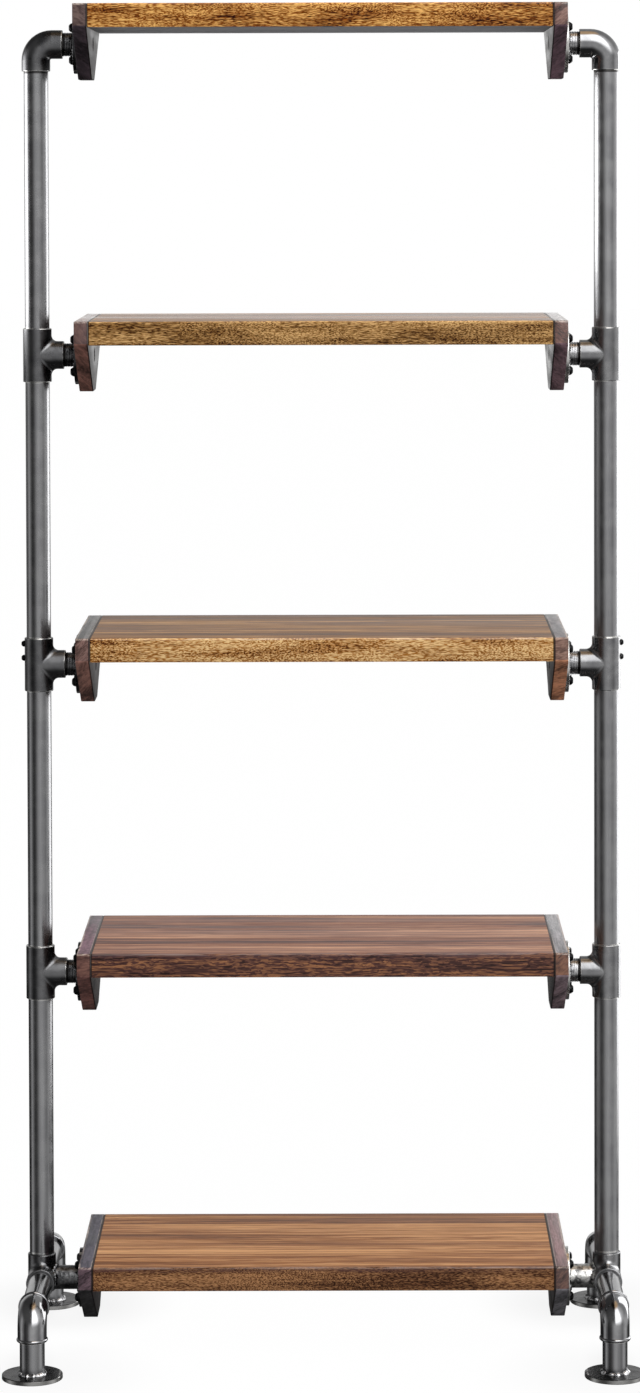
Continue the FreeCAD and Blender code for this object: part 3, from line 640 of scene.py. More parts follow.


# %% [markdown]
# ## Finishes of the brackets
# The brackets are darker planks than the boards, and their grain runs from front to rear, so that the
# front shows growth rings. They could all share one brown, but no two of them look the same. So a bracket
# gets three finishes with the same rings: one for its body, one for the slopes below, whose colours are
# painted light and shade, set to how brightly each slope is lit, and one for its top, painted a pale grey
# sheen for the backdrop it mirrors. The glossier a bracket is, the smoother it is, and those of the upper
# shelf have the smoothest tops.

# %% Bracket finishes
FIRST_BRACKET_SEED = 3.0
BRACKET_SEED_STEP = 8.0
BRACKET_WOODS = {
    "bottom_left": ((38, 30, 34), (78, 63, 69), (104, 84, 92)),
    "bottom_right": ((32, 25, 25), (75, 58, 55), (114, 85, 75)),
    "lower_left": ((42, 24, 22), (86, 57, 51), (112, 78, 68)),
    "lower_right": ((48, 30, 26), (104, 69, 53), (134, 94, 72)),
    "middle_left": ((32, 19, 17), (84, 62, 57), (122, 94, 88)),
    "middle_right": ((46, 31, 25), (113, 84, 74), (162, 132, 116)),
    "upper_left": ((34, 18, 16), (72, 48, 46), (96, 70, 64)),
    "upper_right": ((36, 23, 20), (90, 58, 50), (120, 84, 74)),
    "top_left": ((22, 11, 8), (66, 50, 48), (100, 82, 78)),
    "top_right": ((34, 23, 23), (97, 69, 63), (134, 104, 94)),
}
# The tops' pale greys are a painted sheen, for the white backdrop that the tops mirror.
BRACKET_TOPS_PAINTED_SHEEN = {
    "bottom_left": (79, 76, 84), "bottom_right": (128, 102, 102), "lower_left": (112, 87, 96),
    "lower_right": (146, 142, 144), "middle_left": (104, 102, 101), "middle_right": (120, 115, 116),
    "upper_left": (132, 108, 100), "upper_right": (186, 180, 178), "top_left": (66, 50, 48),
    "top_right": (97, 69, 63),
}
# The slopes' colours are painted light and shade: each is set to how brightly that slope is lit.
SLOPES_PAINTED_LIGHT = {
    "bottom_left": (54, 53, 54), "bottom_right": (104, 102, 106), "lower_left": (100, 70, 66),
    "lower_right": (112, 98, 104), "middle_left": (114, 84, 76), "middle_right": (160, 112, 86),
    "upper_left": (110, 78, 70), "upper_right": (98, 78, 84), "top_left": (56, 48, 54),
    "top_right": (86, 68, 76),
}
BRACKET_GLOSS = {
    "bottom_left": 0.15, "bottom_right": 0.4, "lower_left": 0.25, "lower_right": 0.6, "middle_left": 0.25,
    "middle_right": 0.4, "upper_left": 0.6, "upper_right": 1.0, "top_left": 0.3, "top_right": 0.6,
}
BRACKET_FIGURE = {"shares": (0.35, 0.2, 0.15, 0.3, 0.0), "stave": 0.4, "fleck": (0.012, 0.0024),
                  "waviness": 0.012}
STEEPEST_SLANT = 1.2
DULL_ROUGHNESS = 0.4
POLISH = 0.25
POLISHED_TOP = 0.06
ROUGHNESS_RANGE = 0.2
SLOPE_GLOSS = 0.08
DARK_SLOPE = 0.55
DARK_TOP = 0.6
LIGHT = 1.3


def shades(colour, darkest):
    """A dark, a middle and a light shade of one screen colour."""
    return palette([[share * value for value in colour] for share in (darkest, 1.0, LIGHT)])


def bracket_finish(name, colours, seed, slant, gloss, smoothest, arris_highlight):
    """The wood of one part of a bracket."""
    roughness = (smoothest, smoothest + ROUGHNESS_RANGE)
    return wood_finish(name, *colours, seed, slant=slant, gloss=gloss, roughness=roughness, arris_highlight=arris_highlight,
                       **BRACKET_FIGURE)


random.seed(4)
bracket_finishes = {}
for row, (name, woods) in enumerate(BRACKET_WOODS.items()):
    seed = FIRST_BRACKET_SEED + BRACKET_SEED_STEP * row
    slant = random.uniform(-STEEPEST_SLANT, STEEPEST_SLANT)
    gloss = BRACKET_GLOSS[name]
    smoothest = DULL_ROUGHNESS - POLISH * gloss
    top_smoothest = POLISHED_TOP if name.startswith("upper") else smoothest
    painted_slope_light = shades(SLOPES_PAINTED_LIGHT[name], DARK_SLOPE)
    painted_top_sheen = shades(BRACKET_TOPS_PAINTED_SHEEN[name], DARK_TOP)
    # The last value of each finish is the strength of the painted highlight along its upper arrises.
    bracket_finishes[name] = [
        bracket_finish(f"{name}_bracket_wood", palette(woods), seed, slant, gloss, smoothest, arris_highlight=0.7),
        bracket_finish(f"{name}_slope_wood", painted_slope_light, seed, slant, SLOPE_GLOSS, DULL_ROUGHNESS,
                       arris_highlight=0.0),
        bracket_finish(f"{name}_bracket_top", painted_top_sheen, seed, slant, gloss, top_smoothest, arris_highlight=0.9),
    ]
print("bracket finishes:", sum(len(row) for row in bracket_finishes.values()))


# %% [markdown]
# ## End brackets
# Each shelf ends in a shield-shaped bracket: a plank as thick as a finger, upright for the board's height
# and then tapered to a narrow foot, with a round hole on the pipe's axis. A boolean would leave ragged
# faces round the hole. Instead the outline starts as one face whose corners are bevelled, it is extruded,
# its rim gets an arris, and the two flat faces are filled again between the rim and a circle, with the
# circles bridged to make the hole's wall.

# %% End brackets
KINK_BELOW_TOP = 32.0 * MILLIMETRE
FOOT_WIDTH = 54.0 * MILLIMETRE
HOLE_RADIUS = 10.0 * MILLIMETRE
AXIS_BELOW_TOP = 51.0 * MILLIMETRE
HOLE_SEGMENTS = 48
ROUND_SEGMENTS = 5
SLOPE_FACES = -0.3


def fill_round_hole(shape, face, centre):
    """Replaces a flat face by one with a round hole; returns the hole's edges."""
    rim = list(face.edges)
    bmesh.ops.delete(shape, geom=[face], context="FACES_ONLY")
    hole = add_ring(shape, centre, HOLE_RADIUS, HOLE_SEGMENTS)
    bmesh.ops.triangle_fill(shape, edges=rim + hole, use_beauty=True, use_dissolve=False)
    return hole


def make_bracket(level, side):
    """One bracket in its CAD node's box."""
    node = f"{level}_{side}_bracket"
    low, high = node_box(node)
    half_foot = FOOT_WIDTH / 2
    kink = high.z - KINK_BELOW_TOP
    outline = [(low.y, high.z), (high.y, high.z), (high.y, kink), (half_foot, low.z), (-half_foot, low.z),
               (low.y, kink)]
    plank = bmesh.new()
    corners = [plank.verts.new((low.x, y, z)) for y, z in outline]
    bmesh.ops.contextual_create(plank, geom=corners)
    bevel(plank, plank.verts[:], EASED_EDGE, ROUND_SEGMENTS, affect="VERTICES")
    grown = bmesh.ops.extrude_face_region(plank, geom=plank.faces[:])["geom"]
    bmesh.ops.translate(plank, vec=(high.x - low.x, 0, 0), verts=corners_of(grown))
    bmesh.ops.recalc_face_normals(plank, faces=plank.faces)
    rims = [edge for edge in plank.edges if not lies_along_x(edge)]
    bevel(plank, rims, ARRIS, ARRIS_SEGMENTS)
    holes = []
    for x in (low.x, high.x):
        level_faces = [face for face in plank.faces if abs(face.calc_center_median().x - x) < ARRIS / 4]
        flat = max(level_faces, key=lambda face: face.calc_area())
        holes += fill_round_hole(plank, flat, Vector((x, 0, high.z - AXIS_BELOW_TOP)))
    bmesh.ops.bridge_loops(plank, edges=holes)
    plank.normal_update()
    for face in plank.faces:
        # Faces that look down take the slope's painted light and shade, and faces that look up the top's
        # painted sheen.
        if face.normal.z < SLOPE_FACES:
            face.material_index = 1
        elif face.normal.z > FLAT_FACES:
            face.material_index = 2
    finishes = bracket_finishes[f"{level}_{side}"]
    return finish_piece(plank, f"{level}_{side}_end_bracket", finishes, [node])


for level in LEVELS:
    for side in SIDES:
        make_bracket(level, side)


# %% [markdown]
# ## Lacquered steel
# Posts, fittings and plates are steel under a thin dark lacquer. It is never even: it is thinner along
# drawn lines and pools in cloudy spots. The mouths of the fittings get a painted highlight, a pale line for
# the glint that their rims catch. A painted image could show all that, but it would need a map of every
# pipe. So one node group gives a cloud mask, a streak mask along the pipe, a fine pitting and a mask of
# painted highlight for the mouths, measured from the frame, and each finish decides how much of them
# reaches its colour, gloss and relief.

# %% Lacquer group
tee_low, tee_high = node_box("left_lower_tee")
axis_low, axis_high = node_box("bottom_left_shelf_plate")
BASE_AXIS = (axis_low.z + axis_high.z) / 2
FITTING_REACH = (tee_high.z - tee_low.z) / 2
BRANCH_MOUTH = -tee_high.x
MOUTH_REACH = (0.64 * MILLIMETRE, 1.6 * MILLIMETRE)
PATCH_SCALE = 90.0
PATCH_RANGE = (0.36, 0.56)
CLOUD_RANGE = (0.35, 0.68)
STREAK_RANGE = (0.3, 0.7)


def build_lacquer():
    """Masks for lacquer on steel, with a painted highlight at the mouths; Stretch makes the streaks follow a
    pipe.
    """
    group, given, result = new_group("lacquer_wear_and_glints", ["Place", "Stretch"], ["Cloud Scale", "Pit Scale"],
                                     ["Cloud", "Streak", "Pit", "Mouth Glint"])
    place = given.outputs["Place"]
    cloud = noise_at(group, place, given.outputs["Cloud Scale"], detail=3.0, roughness=0.55)
    streak = stretched_noise(group, place, given.outputs["Stretch"], roughness=0.6)
    axes = split_axes(group, place)
    run_gap = distance_to(group, gap_to_levels(group, axes["Z"], BASE_AXIS), FITTING_REACH)
    branch_gap = distance_to(group, axes["X"], BRANCH_MOUTH)
    nearest = maths(group, "MINIMUM", run_gap, branch_gap)
    # Painted highlight round the mouths of the fittings, patchy along the rim.
    painted_highlight = spread(group, nearest, *MOUTH_REACH, 1.0, 0.0)
    patchy = spread(group, noise_at(group, place, PATCH_SCALE), *PATCH_RANGE)
    give_out(group, result, {
        "Cloud": spread(group, cloud, *CLOUD_RANGE),
        "Streak": spread(group, streak, *STREAK_RANGE),
        "Pit": noise_at(group, place, given.outputs["Pit Scale"], roughness=0.6),
        "Mouth Glint": maths(group, "MULTIPLY", painted_highlight, patchy),
    })
    return group


lacquer = build_lacquer()
print("fitting reach:", round(FITTING_REACH, 4), "branch mouth:", round(BRANCH_MOUTH, 4))

# %% [markdown]
# ## Painted highlights and shade on the steel
# The rims of the right shelf plates and of the foot plates get a painted highlight, and the right spur is
# painted lighter in patches, for the light that falls on the right half. Painted shade darkens the threads
# where they enter a fitting and a post where it enters its top elbow. These places could be separate pieces
# of steel, but they are only marks. So each is a small function that gives a mask, from the distance to a
# place in the frame.

# %% Painted highlights and shade
PLATE_RADIUS = node_box("top_right_shelf_plate")[1].y
FOOT_PLATE_TOP = node_box("left_front_foot_plate")[1].z
ELBOW_MOUTH = node_box("left_top_elbow")[0].z
RIM_START = 1.2 * MILLIMETRE
PLATE_RIM_END = 0.4 * MILLIMETRE
FOOT_RIM_END = 0.3 * MILLIMETRE
SEAM_START = 3.6 * MILLIMETRE
SEAM_END = 2.4 * MILLIMETRE
PLATE_RIM_HIGHLIGHT = 0.85
FOOT_RIM_HIGHLIGHT = 0.45
SPUR_PAINTED_LIGHT = 0.9
BRANCH_PAINTED_SHADE = 0.9
ELBOW_PAINTED_SHADE = 0.8
SPUR_SCALE = 150.0
SPUR_RANGE = (0.36, 0.58)
MIDDLE_REACH = 0.1


def plate_rim(tree, place):
    """A mask of painted highlight on the rim of a round shelf plate, by the distance from its pipe's axis.
    """
    axes = split_axes(tree, place)
    spoke = join_axes(tree, 0.0, axes["Y"], gap_to_levels(tree, axes["Z"], BASE_AXIS))
    reach = add(tree, "VectorMath", {0: spoke}, operation="LENGTH").outputs["Value"]
    return spread(tree, reach, PLATE_RADIUS - RIM_START, PLATE_RADIUS - PLATE_RIM_END, 0.0, PLATE_RIM_HIGHLIGHT)


def foot_rim(tree, place):
    """A mask of painted highlight on the rim of a foot plate, below its top face."""
    height = split_axes(tree, place)["Z"]
    start = FOOT_PLATE_TOP - RIM_START
    return spread(tree, height, start, FOOT_PLATE_TOP - FOOT_RIM_END, FOOT_RIM_HIGHLIGHT, 0.0)


def branch_seam(tree, place):
    """A mask of painted shade on the first threads beside a branch's mouth."""
    reach = maths(tree, "ABSOLUTE", split_axes(tree, place)["X"])
    return spread(tree, reach, BRANCH_MOUTH - SEAM_START, BRANCH_MOUTH - SEAM_END, 0.0, BRANCH_PAINTED_SHADE)


def elbow_seam(tree, place):
    """A mask of painted shade on a post just under its top elbow."""
    height = split_axes(tree, place)["Z"]
    return spread(tree, height, ELBOW_MOUTH - SEAM_START, ELBOW_MOUTH - SEAM_END, 0.0, ELBOW_PAINTED_SHADE)


def painted_light_right_spur(tree, place):
    """A patchy mask of painted light on the right half of the unit."""
    side = spread(tree, split_axes(tree, place)["X"], -MIDDLE_REACH, MIDDLE_REACH, 0.0, SPUR_PAINTED_LIGHT)
    patchy = spread(tree, stretched_noise(tree, place, (SPUR_SCALE, SPUR_SCALE, SPUR_SCALE)), *SPUR_RANGE)
    return maths(tree, "MULTIPLY", side, patchy)


print("plate radius:", round(PLATE_RADIUS, 4), "elbow mouth:", round(ELBOW_MOUTH, 4))

# %% [markdown]
# ## Finishes of the steel
# Drawn pipe, castings, cut threads, welds and screws all take lacquer differently, and the castings, plates
# and threads of the right half are painted lighter than those of the left, for the light that falls on that
# side. A separate graph for each would repeat the same steps. So one function makes a steel from two greys,
# a range of gloss and the scale of its marks, and each kind of piece gets its own values.

# %% Steel finishes
# A pale steel for painted highlights and painted light: glints at the mouths, pale rims and the lighter
# right spur.
PAINTED_HIGHLIGHT_STEEL = screen_colour(222, 221, 218)
PIT_SHARE = 0.6
PIT_DEPTH = 1.0 * MILLIMETRE
ALONG_Z = (220.0, 220.0, 6.0)
ALONG_Y = (220.0, 6.0, 220.0)
EVEN = (60.0, 60.0, 60.0)


def steel_finish(name, dark, light, roughness, stretch=EVEN, cloud=38.0, pit=500.0, cloud_share=0.5,
                 relief=0.02, painted_highlight=0.8, painted_light=None, painted_seam_shade=None):
    """Lacquered steel between two greys; roughness is its smoothest and roughest value."""
    material, tree, shader = new_finish(name, Metallic=1.0)
    place = object_place(tree)
    masks = place_group(tree, lacquer, {
        "Place": place, "Stretch": stretch, "Cloud Scale": cloud, "Pit Scale": pit})
    patchy = maths(tree, "MULTIPLY", masks["Cloud"], cloud_share)
    wear = maths(tree, "MULTIPLY_ADD", masks["Streak"], 1.0 - cloud_share, patchy)
    colour = blend_colours(tree, wear, screen_colour(dark, dark, dark + 2),
                           screen_colour(light, light, light + 1))
    # Painted highlight: a pale line at the mouths of the fittings.
    colour = blend_colours(tree, maths(tree, "MULTIPLY", masks["Mouth Glint"], painted_highlight), colour, PAINTED_HIGHLIGHT_STEEL)
    # Painted light from the given mask: the rim highlights of the plates and the lighter right spur.
    if painted_light:
        colour = blend_colours(tree, painted_light(tree, place), colour, PAINTED_HIGHLIGHT_STEEL)
    # Painted shade in the seams where threads and posts enter the fittings.
    if painted_seam_shade:
        colour = blend_colours(tree, painted_seam_shade(tree, place), colour, GRIME_AND_PAINTED_SHADE)
    tree.links.new(colour, shader.inputs["Base Color"])
    tree.links.new(between(tree, masks["Cloud"], *roughness), shader.inputs["Roughness"])
    height = maths(tree, "MULTIPLY_ADD", masks["Pit"], PIT_SHARE, masks["Cloud"])
    bump(tree, shader, height, relief, PIT_DEPTH)
    return material


DRAWN = {"stretch": ALONG_Z, "relief": 0.006, "painted_seam_shade": elbow_seam}
CAST = {"pit": 300.0, "relief": 0.05}
CUT = {"cloud": 60.0, "pit": 420.0, "relief": 0.08}
THREAD = {"cloud": 120.0, "pit": 420.0, "relief": 0.05, "painted_seam_shade": branch_seam}
post_steel = {"left": steel_finish("left_post_steel", 134, 154, (0.22, 0.3), **DRAWN),
              "right": steel_finish("right_post_steel", 136, 156, (0.3, 0.4), **DRAWN)}
# The right castings, plates and threads are painted lighter than the left ones, for the light that falls on
# the right half.
cast_steel = {"left": steel_finish("left_casting", 90, 116, (0.24, 0.34), **CAST),
              "right": steel_finish("right_casting_painted_lighter", 120, 148, (0.2, 0.3), **CAST)}
plate_steel = {"left": steel_finish("left_plate_steel", 44, 76, (0.24, 0.4), **CUT),
               "right": steel_finish("right_plate_steel_painted_lighter", 62, 120, (0.2, 0.36), painted_light=plate_rim, **CUT)}
arm_steel = steel_finish("arm_steel", 118, 140, (0.12, 0.2), ALONG_Y)
polished_steel = steel_finish("polished_fitting", 128, 160, (0.1, 0.17), pit=300.0, relief=0.03)
foot_plate_steel = steel_finish("foot_plate_steel", 28, 50, (0.2, 0.36), painted_light=foot_rim, **CUT)
thread_steel = {"left": steel_finish("left_thread", 84, 130, (0.2, 0.34), **THREAD),
                "right": steel_finish("right_thread_painted_lighter", 168, 214, (0.2, 0.34), **THREAD)}
# The spur is painted lighter in patches on the right half, for the light that falls there.
spur_steel = steel_finish("spur_steel", 52, 128, (0.26, 0.42), cloud=170.0, pit=420.0, relief=0.2,
                          painted_highlight=0.0, painted_light=painted_light_right_spur)
weld_steel = steel_finish("weld_steel", 60, 236, (0.2, 0.4), cloud=150.0, pit=700.0, cloud_share=1.0,
                          relief=0.2)
screw_steel = steel_finish("screw_steel", 24, 44, (0.24, 0.36), cloud=120.0, pit=700.0, relief=0.05)
print("materials with the steels:", len(bpy.data.materials))


# %% [markdown]
# ## CAD nodes that stay
# Pipes, fittings and plates already have the right shape in the CAD model, with fine round meshes. They
# could be modelled again, but that would only repeat them, so they are kept and given a better finish.
# The castings are darker than the drawn pipes, and the fittings at the feet and the right top corner are
# the shiniest.

# %% Dress the CAD nodes
def dress(node, finish):
    """Gives a CAD node that keeps its own shape a better material."""
    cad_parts[node].material_slots[0].material = finish


for side in SIDES:
    dress(f"{side}_base_tee", cast_steel[side])
    for level in LEVELS[1:-1]:
        dress(f"{side}_{level}_tee", cast_steel[side])
    for level in LEVELS[:-1]:
        dress(f"{side}_{level}_post_tube", post_steel[side])
    for end in FOOT_ENDS:
        dress(f"{side}_{end}_foot_elbow", polished_steel)
        dress(f"{side}_{end}_foot_plate", foot_plate_steel)
    for level in LEVELS:
        dress(f"{level}_{side}_shelf_plate", plate_steel[side])
dress("left_top_elbow", cast_steel["left"])
dress("right_top_elbow", polished_steel)
dress("foot_arms", arm_steel)
dress("foot_pipes", post_steel["left"])
dress("base_spurs", spur_steel)
dress("bracket_dowels", bracket_finishes["lower_right"][0])
print("castings used by", cast_steel["left"].users + cast_steel["right"].users, "nodes")


# %% [markdown]
# ## Threaded nipples
# A short threaded pipe joins each fitting to its shelf plate, and its thread shows between them. Rings
# would look right from afar, but a thread is one groove that climbs. So a single tooth is spun round the
# pipe's axis while it moves on by one pitch a turn, and two cuts trim the helix to the pipe's length. The
# ends are hidden in the fitting and at the plate, and are simply closed.

# %% Threaded nipples
THREAD_PITCH = 2.2 * MILLIMETRE
THREAD_DEPTH = 0.9 * MILLIMETRE
THREAD_STEPS = 40
CREST_SHARES = (0.36, 0.64)
LEAD_IN = 1.5
SPARE_TURNS = 3
nipple_end = node_box("shelf_nipples")[1]
NIPPLE_RADIUS = nipple_end.y


def make_threaded_pipe(length):
    """A closed threaded pipe along X, from zero to its length."""
    pipe = bmesh.new()
    start = -LEAD_IN * THREAD_PITCH
    root = NIPPLE_RADIUS - THREAD_DEPTH
    tooth = [(start, root)]
    tooth += [(start + share * THREAD_PITCH, NIPPLE_RADIUS) for share in CREST_SHARES]
    tooth.append((start + THREAD_PITCH, root))
    points = [pipe.verts.new((x, 0, z)) for x, z in tooth]
    edges = [pipe.edges.new(pair) for pair in zip(points, points[1:])]
    turns = math.ceil(length / THREAD_PITCH) + SPARE_TURNS
    advance = (THREAD_PITCH / THREAD_STEPS, 0, 0)
    bmesh.ops.spin(pipe, geom=points + edges, cent=ORIGIN, axis=X_AXIS, dvec=advance,
                   angle=turns * FULL_TURN, steps=turns * THREAD_STEPS)
    bmesh.ops.remove_doubles(pipe, verts=pipe.verts, dist=MERGE_DISTANCE)
    for x, inwards in ((0.0, 1), (length, -1)):
        everything = pipe.verts[:] + pipe.edges[:] + pipe.faces[:]
        bmesh.ops.bisect_plane(pipe, geom=everything, dist=MERGE_DISTANCE, plane_co=(x, 0, 0),
                               plane_no=(inwards, 0, 0), clear_inner=True)
    rims = [edge for edge in pipe.edges if edge.is_boundary]
    bmesh.ops.holes_fill(pipe, edges=rims, sides=0)
    return pipe


def facing(side):
    """A turn that points the X axis to the left or to the right."""
    return Matrix.Rotation(HALF_TURN if side == "left" else 0.0, 4, "Z")


def plate_frame(level, side):
    """A frame on a shelf plate's outer face: its X axis points out along the pipe."""
    low, high = node_box(f"{level}_{side}_shelf_plate")
    centre = (low + high) / 2
    centre.x = low.x if side == "left" else high.x
    return Matrix.Translation(centre) @ facing(side)


plate_face = node_box("top_right_shelf_plate")[1].x
first_nipple = make_threaded_pipe(nipple_end.x - plate_face)
nipples = []
for level in LEVELS[1:]:
    for side in SIDES:
        nipple = first_nipple.copy()
        # Each nipple takes its side's thread finish; the right one is painted lighter.
        for face in nipple.faces:
            face.material_index = SIDES.index(side)
        move_shape(nipple, plate_frame(level, side))
        nipples.append(nipple)
first_nipple.free()
threads = [thread_steel[side] for side in SIDES]
finish_piece(join_shapes(nipples), "threaded_nipples", threads, ["shelf_nipples"])


# %% [markdown]
# ## Weld beads
# Plates, foot pipes and the two base spurs are welded on, and the beads are lumpy with small overlapping
# ripples. A smooth torus would look like a rubber ring. The bead's section, a bulging triangle in the
# corner, is spun round the pipe, and then every point is pushed from the corner by a ripple and some
# noise. The spurs' beads also follow the round side of the base tee.

# %% Weld bead
BEAD_SINK = 0.5 * MILLIMETRE
BEAD_SECTION = [(0.0, 1.0), (0.42, 0.86), (0.72, 0.6), (0.9, 0.3), (1.0, 0.0)]
BEAD_STEPS = 144
RIPPLE_HEIGHT = 0.16
RIPPLE_DRIFT = 3
LUMP_HEIGHT = 0.55
LUMP_SCALE = 2.4


def make_bead(radius, leg, ripples, seed):
    """A rippled ring of weld round the X axis, in the corner between a pipe and a plate at zero."""
    bead = bmesh.new()
    points = [(-BEAD_SINK, 0, radius - BEAD_SINK), (-BEAD_SINK, 0, radius + leg)]
    points += [(leg * along, 0, radius + leg * out) for along, out in BEAD_SECTION]
    points.append((leg, 0, radius - BEAD_SINK))
    spin_section(bead, points, BEAD_STEPS, closed=True)
    for vert in bead.verts:
        angle = math.atan2(vert.co.y, vert.co.z)
        out = math.hypot(vert.co.y, vert.co.z) - radius
        lump = noise.noise(Vector((LUMP_SCALE * math.cos(angle), LUMP_SCALE * math.sin(angle), seed)))
        ripple = math.sin(ripples * angle + RIPPLE_DRIFT * lump)
        swell = 1 + RIPPLE_HEIGHT * ripple + LUMP_HEIGHT * lump
        if out > 0:
            scale = (radius + out * swell) / (radius + out)
            vert.co.y *= scale
            vert.co.z *= scale
        if vert.co.x > 0:
            vert.co.x *= swell
    return bead


print("bead section:", len(BEAD_SECTION) + 3, "points")

# %% Plate and foot welds
PLATE_WELD_LEG = 2.4 * MILLIMETRE
PLATE_RIPPLES = 34
FOOT_WELD_LEG = 3.2 * MILLIMETRE
FOOT_RIPPLES = 10
FIRST_FOOT_SEED = 50
ROW_SEED_STEP = 10
COLUMN_SEED_STEP = 3
PIPE_RADIUS = 16.7 * MILLIMETRE
UPWARDS = Matrix.Rotation(-QUARTER_TURN, 4, "Y")

plate_beads = []
for row, level in enumerate(LEVELS):
    for column, side in enumerate(SIDES):
        seed = ROW_SEED_STEP * row + COLUMN_SEED_STEP * column
        bead = make_bead(NIPPLE_RADIUS, PLATE_WELD_LEG, PLATE_RIPPLES, seed)
        move_shape(bead, plate_frame(level, side))
        plate_beads.append(bead)
finish_piece(join_shapes(plate_beads), "plate_weld_beads", [weld_steel], ["plate_welds"])

foot_beads = []
for row, side in enumerate(SIDES):
    for column, end in enumerate(FOOT_ENDS):
        low, high = node_box(f"{side}_{end}_foot_plate")
        centre = (low + high) / 2
        centre.z = high.z
        seed = FIRST_FOOT_SEED + ROW_SEED_STEP * row + COLUMN_SEED_STEP * column
        bead = make_bead(PIPE_RADIUS, FOOT_WELD_LEG, FOOT_RIPPLES, seed)
        move_shape(bead, Matrix.Translation(centre) @ UPWARDS)
        foot_beads.append(bead)
finish_piece(join_shapes(foot_beads), "foot_weld_beads", [weld_steel], ["foot_welds"])

# %% Spur welds
SPUR_WELD_LEG = 3.4 * MILLIMETRE
SPUR_RIPPLES = 22
FIRST_SPUR_SEED = 90
SPUR_SEED_STEP = 7
RUN_RADIUS = 19.5 * MILLIMETRE


def tee_side(y, z):
    """How far a base tee's side stands out from its axis, at a place across the spur."""
    run = math.sqrt(max(RUN_RADIUS ** 2 - z ** 2, 0))
    collar = math.sqrt(max(RUN_RADIUS ** 2 - y ** 2, 0)) if z > 0 else 0
    return max(run, collar)


spur_beads = []
for column, side in enumerate(SIDES):
    low, high = node_box(f"{side}_base_tee")
    bead = make_bead(NIPPLE_RADIUS, SPUR_WELD_LEG, SPUR_RIPPLES, FIRST_SPUR_SEED + SPUR_SEED_STEP * column)
    for vert in bead.verts:
        reach = math.hypot(vert.co.y, vert.co.z) / NIPPLE_RADIUS
        vert.co.x += tee_side(vert.co.y / reach, vert.co.z / reach)
    x = low.x + RUN_RADIUS if side == "left" else high.x - RUN_RADIUS
    inwards = facing("right" if side == "left" else "left")
    move_shape(bead, Matrix.Translation((x, 0, BASE_AXIS)) @ inwards)
    spur_beads.append(bead)
finish_piece(join_shapes(spur_beads), "spur_weld_beads", [spur_steel], [])


# %% [markdown]
# ## Dome screws
# Four black dome-head screws hold each plate, and two small ones lock the post in each middle tee. A half
# sphere would miss the socket for the key, so the head is a spun outline that stops at a small flat
# crown, the crown is bridged to a hexagon, and the hexagon is extruded down into the head. Every screw is
# turned a little differently.

# %% Dome screws
DOME_POINTS = 7
HEAD_STEPS = 30
CROWN_SHARE = 0.5
SOCKET_SHARE = 0.36
SOCKET_DEPTH = 0.55
SOCKET_CORNERS = 6
SHANK_SHARE = 0.85
random.seed(7)


def make_dome_screw(head_radius, head_height, shank_radius, shank_length):
    """A screw along X: its head rises from zero, its shank goes the other way."""
    screw = bmesh.new()
    first = math.asin(CROWN_SHARE)
    outline = []
    for step in range(DOME_POINTS):
        angle = first + (QUARTER_TURN - first) * step / (DOME_POINTS - 1)
        outline.append((head_height * math.cos(angle) / math.cos(first), 0, head_radius * math.sin(angle)))
    outline += [(0, 0, shank_radius), (-SHANK_SHARE * shank_length, 0, shank_radius), (-shank_length, 0, 0)]
    spin_section(screw, outline, HEAD_STEPS, closed=False)
    crown = [edge for edge in screw.edges if edge.is_boundary]
    socket = add_ring(screw, (head_height, 0, 0), SOCKET_SHARE * head_radius, SOCKET_CORNERS)
    bmesh.ops.bridge_loops(screw, edges=crown + socket)
    sunk = corners_of(bmesh.ops.extrude_edge_only(screw, edges=socket)["geom"])
    bmesh.ops.translate(screw, vec=(-SOCKET_DEPTH * head_height, 0, 0), verts=sunk)
    bmesh.ops.contextual_create(screw, geom=sunk)
    return screw


def turned_copy(screw, place):
    """A copy of a screw at its place, turned by chance round its own axis."""
    copy = screw.copy()
    move_shape(copy, place @ Matrix.Rotation(random.uniform(0, FULL_TURN), 4, "X"))
    return copy


SCREW_CIRCLE = 31.0 * MILLIMETRE
SCREW_ANGLES = [math.radians(degrees) for degrees in (45, 135, 225, 315)]
first_screw = make_dome_screw(head_radius=6.5 * MILLIMETRE, head_height=5.5 * MILLIMETRE,
                              shank_radius=2.25 * MILLIMETRE, shank_length=20.0 * MILLIMETRE)
screws = []
for level in LEVELS:
    for side in SIDES:
        place = plate_frame(level, side)
        for angle in SCREW_ANGLES:
            spot = Vector((0, SCREW_CIRCLE * math.cos(angle), SCREW_CIRCLE * math.sin(angle)))
            screws.append(turned_copy(first_screw, place @ Matrix.Translation(spot)))
first_screw.free()
finish_piece(join_shapes(screws), "plate_dome_screws", [screw_steel], ["plate_screws"])

# %% Set screws
SET_SCREW_INSET = 8.5 * MILLIMETRE
SET_SCREW_SPACING = 19.5 * MILLIMETRE
first_lock = make_dome_screw(head_radius=4.3 * MILLIMETRE, head_height=4.2 * MILLIMETRE,
                             shank_radius=2.5 * MILLIMETRE, shank_length=5.0 * MILLIMETRE)
locks = []
for side in SIDES:
    low, high = node_box(f"{side}_middle_tee")
    x = low.x if side == "left" else high.x
    for row in range(2):
        z = high.z - SET_SCREW_INSET - row * SET_SCREW_SPACING
        locks.append(turned_copy(first_lock, Matrix.Translation((x, 0, z)) @ facing(side)))
first_lock.free()
finish_piece(join_shapes(locks), "post_set_screws", [screw_steel], ["set_screws"])


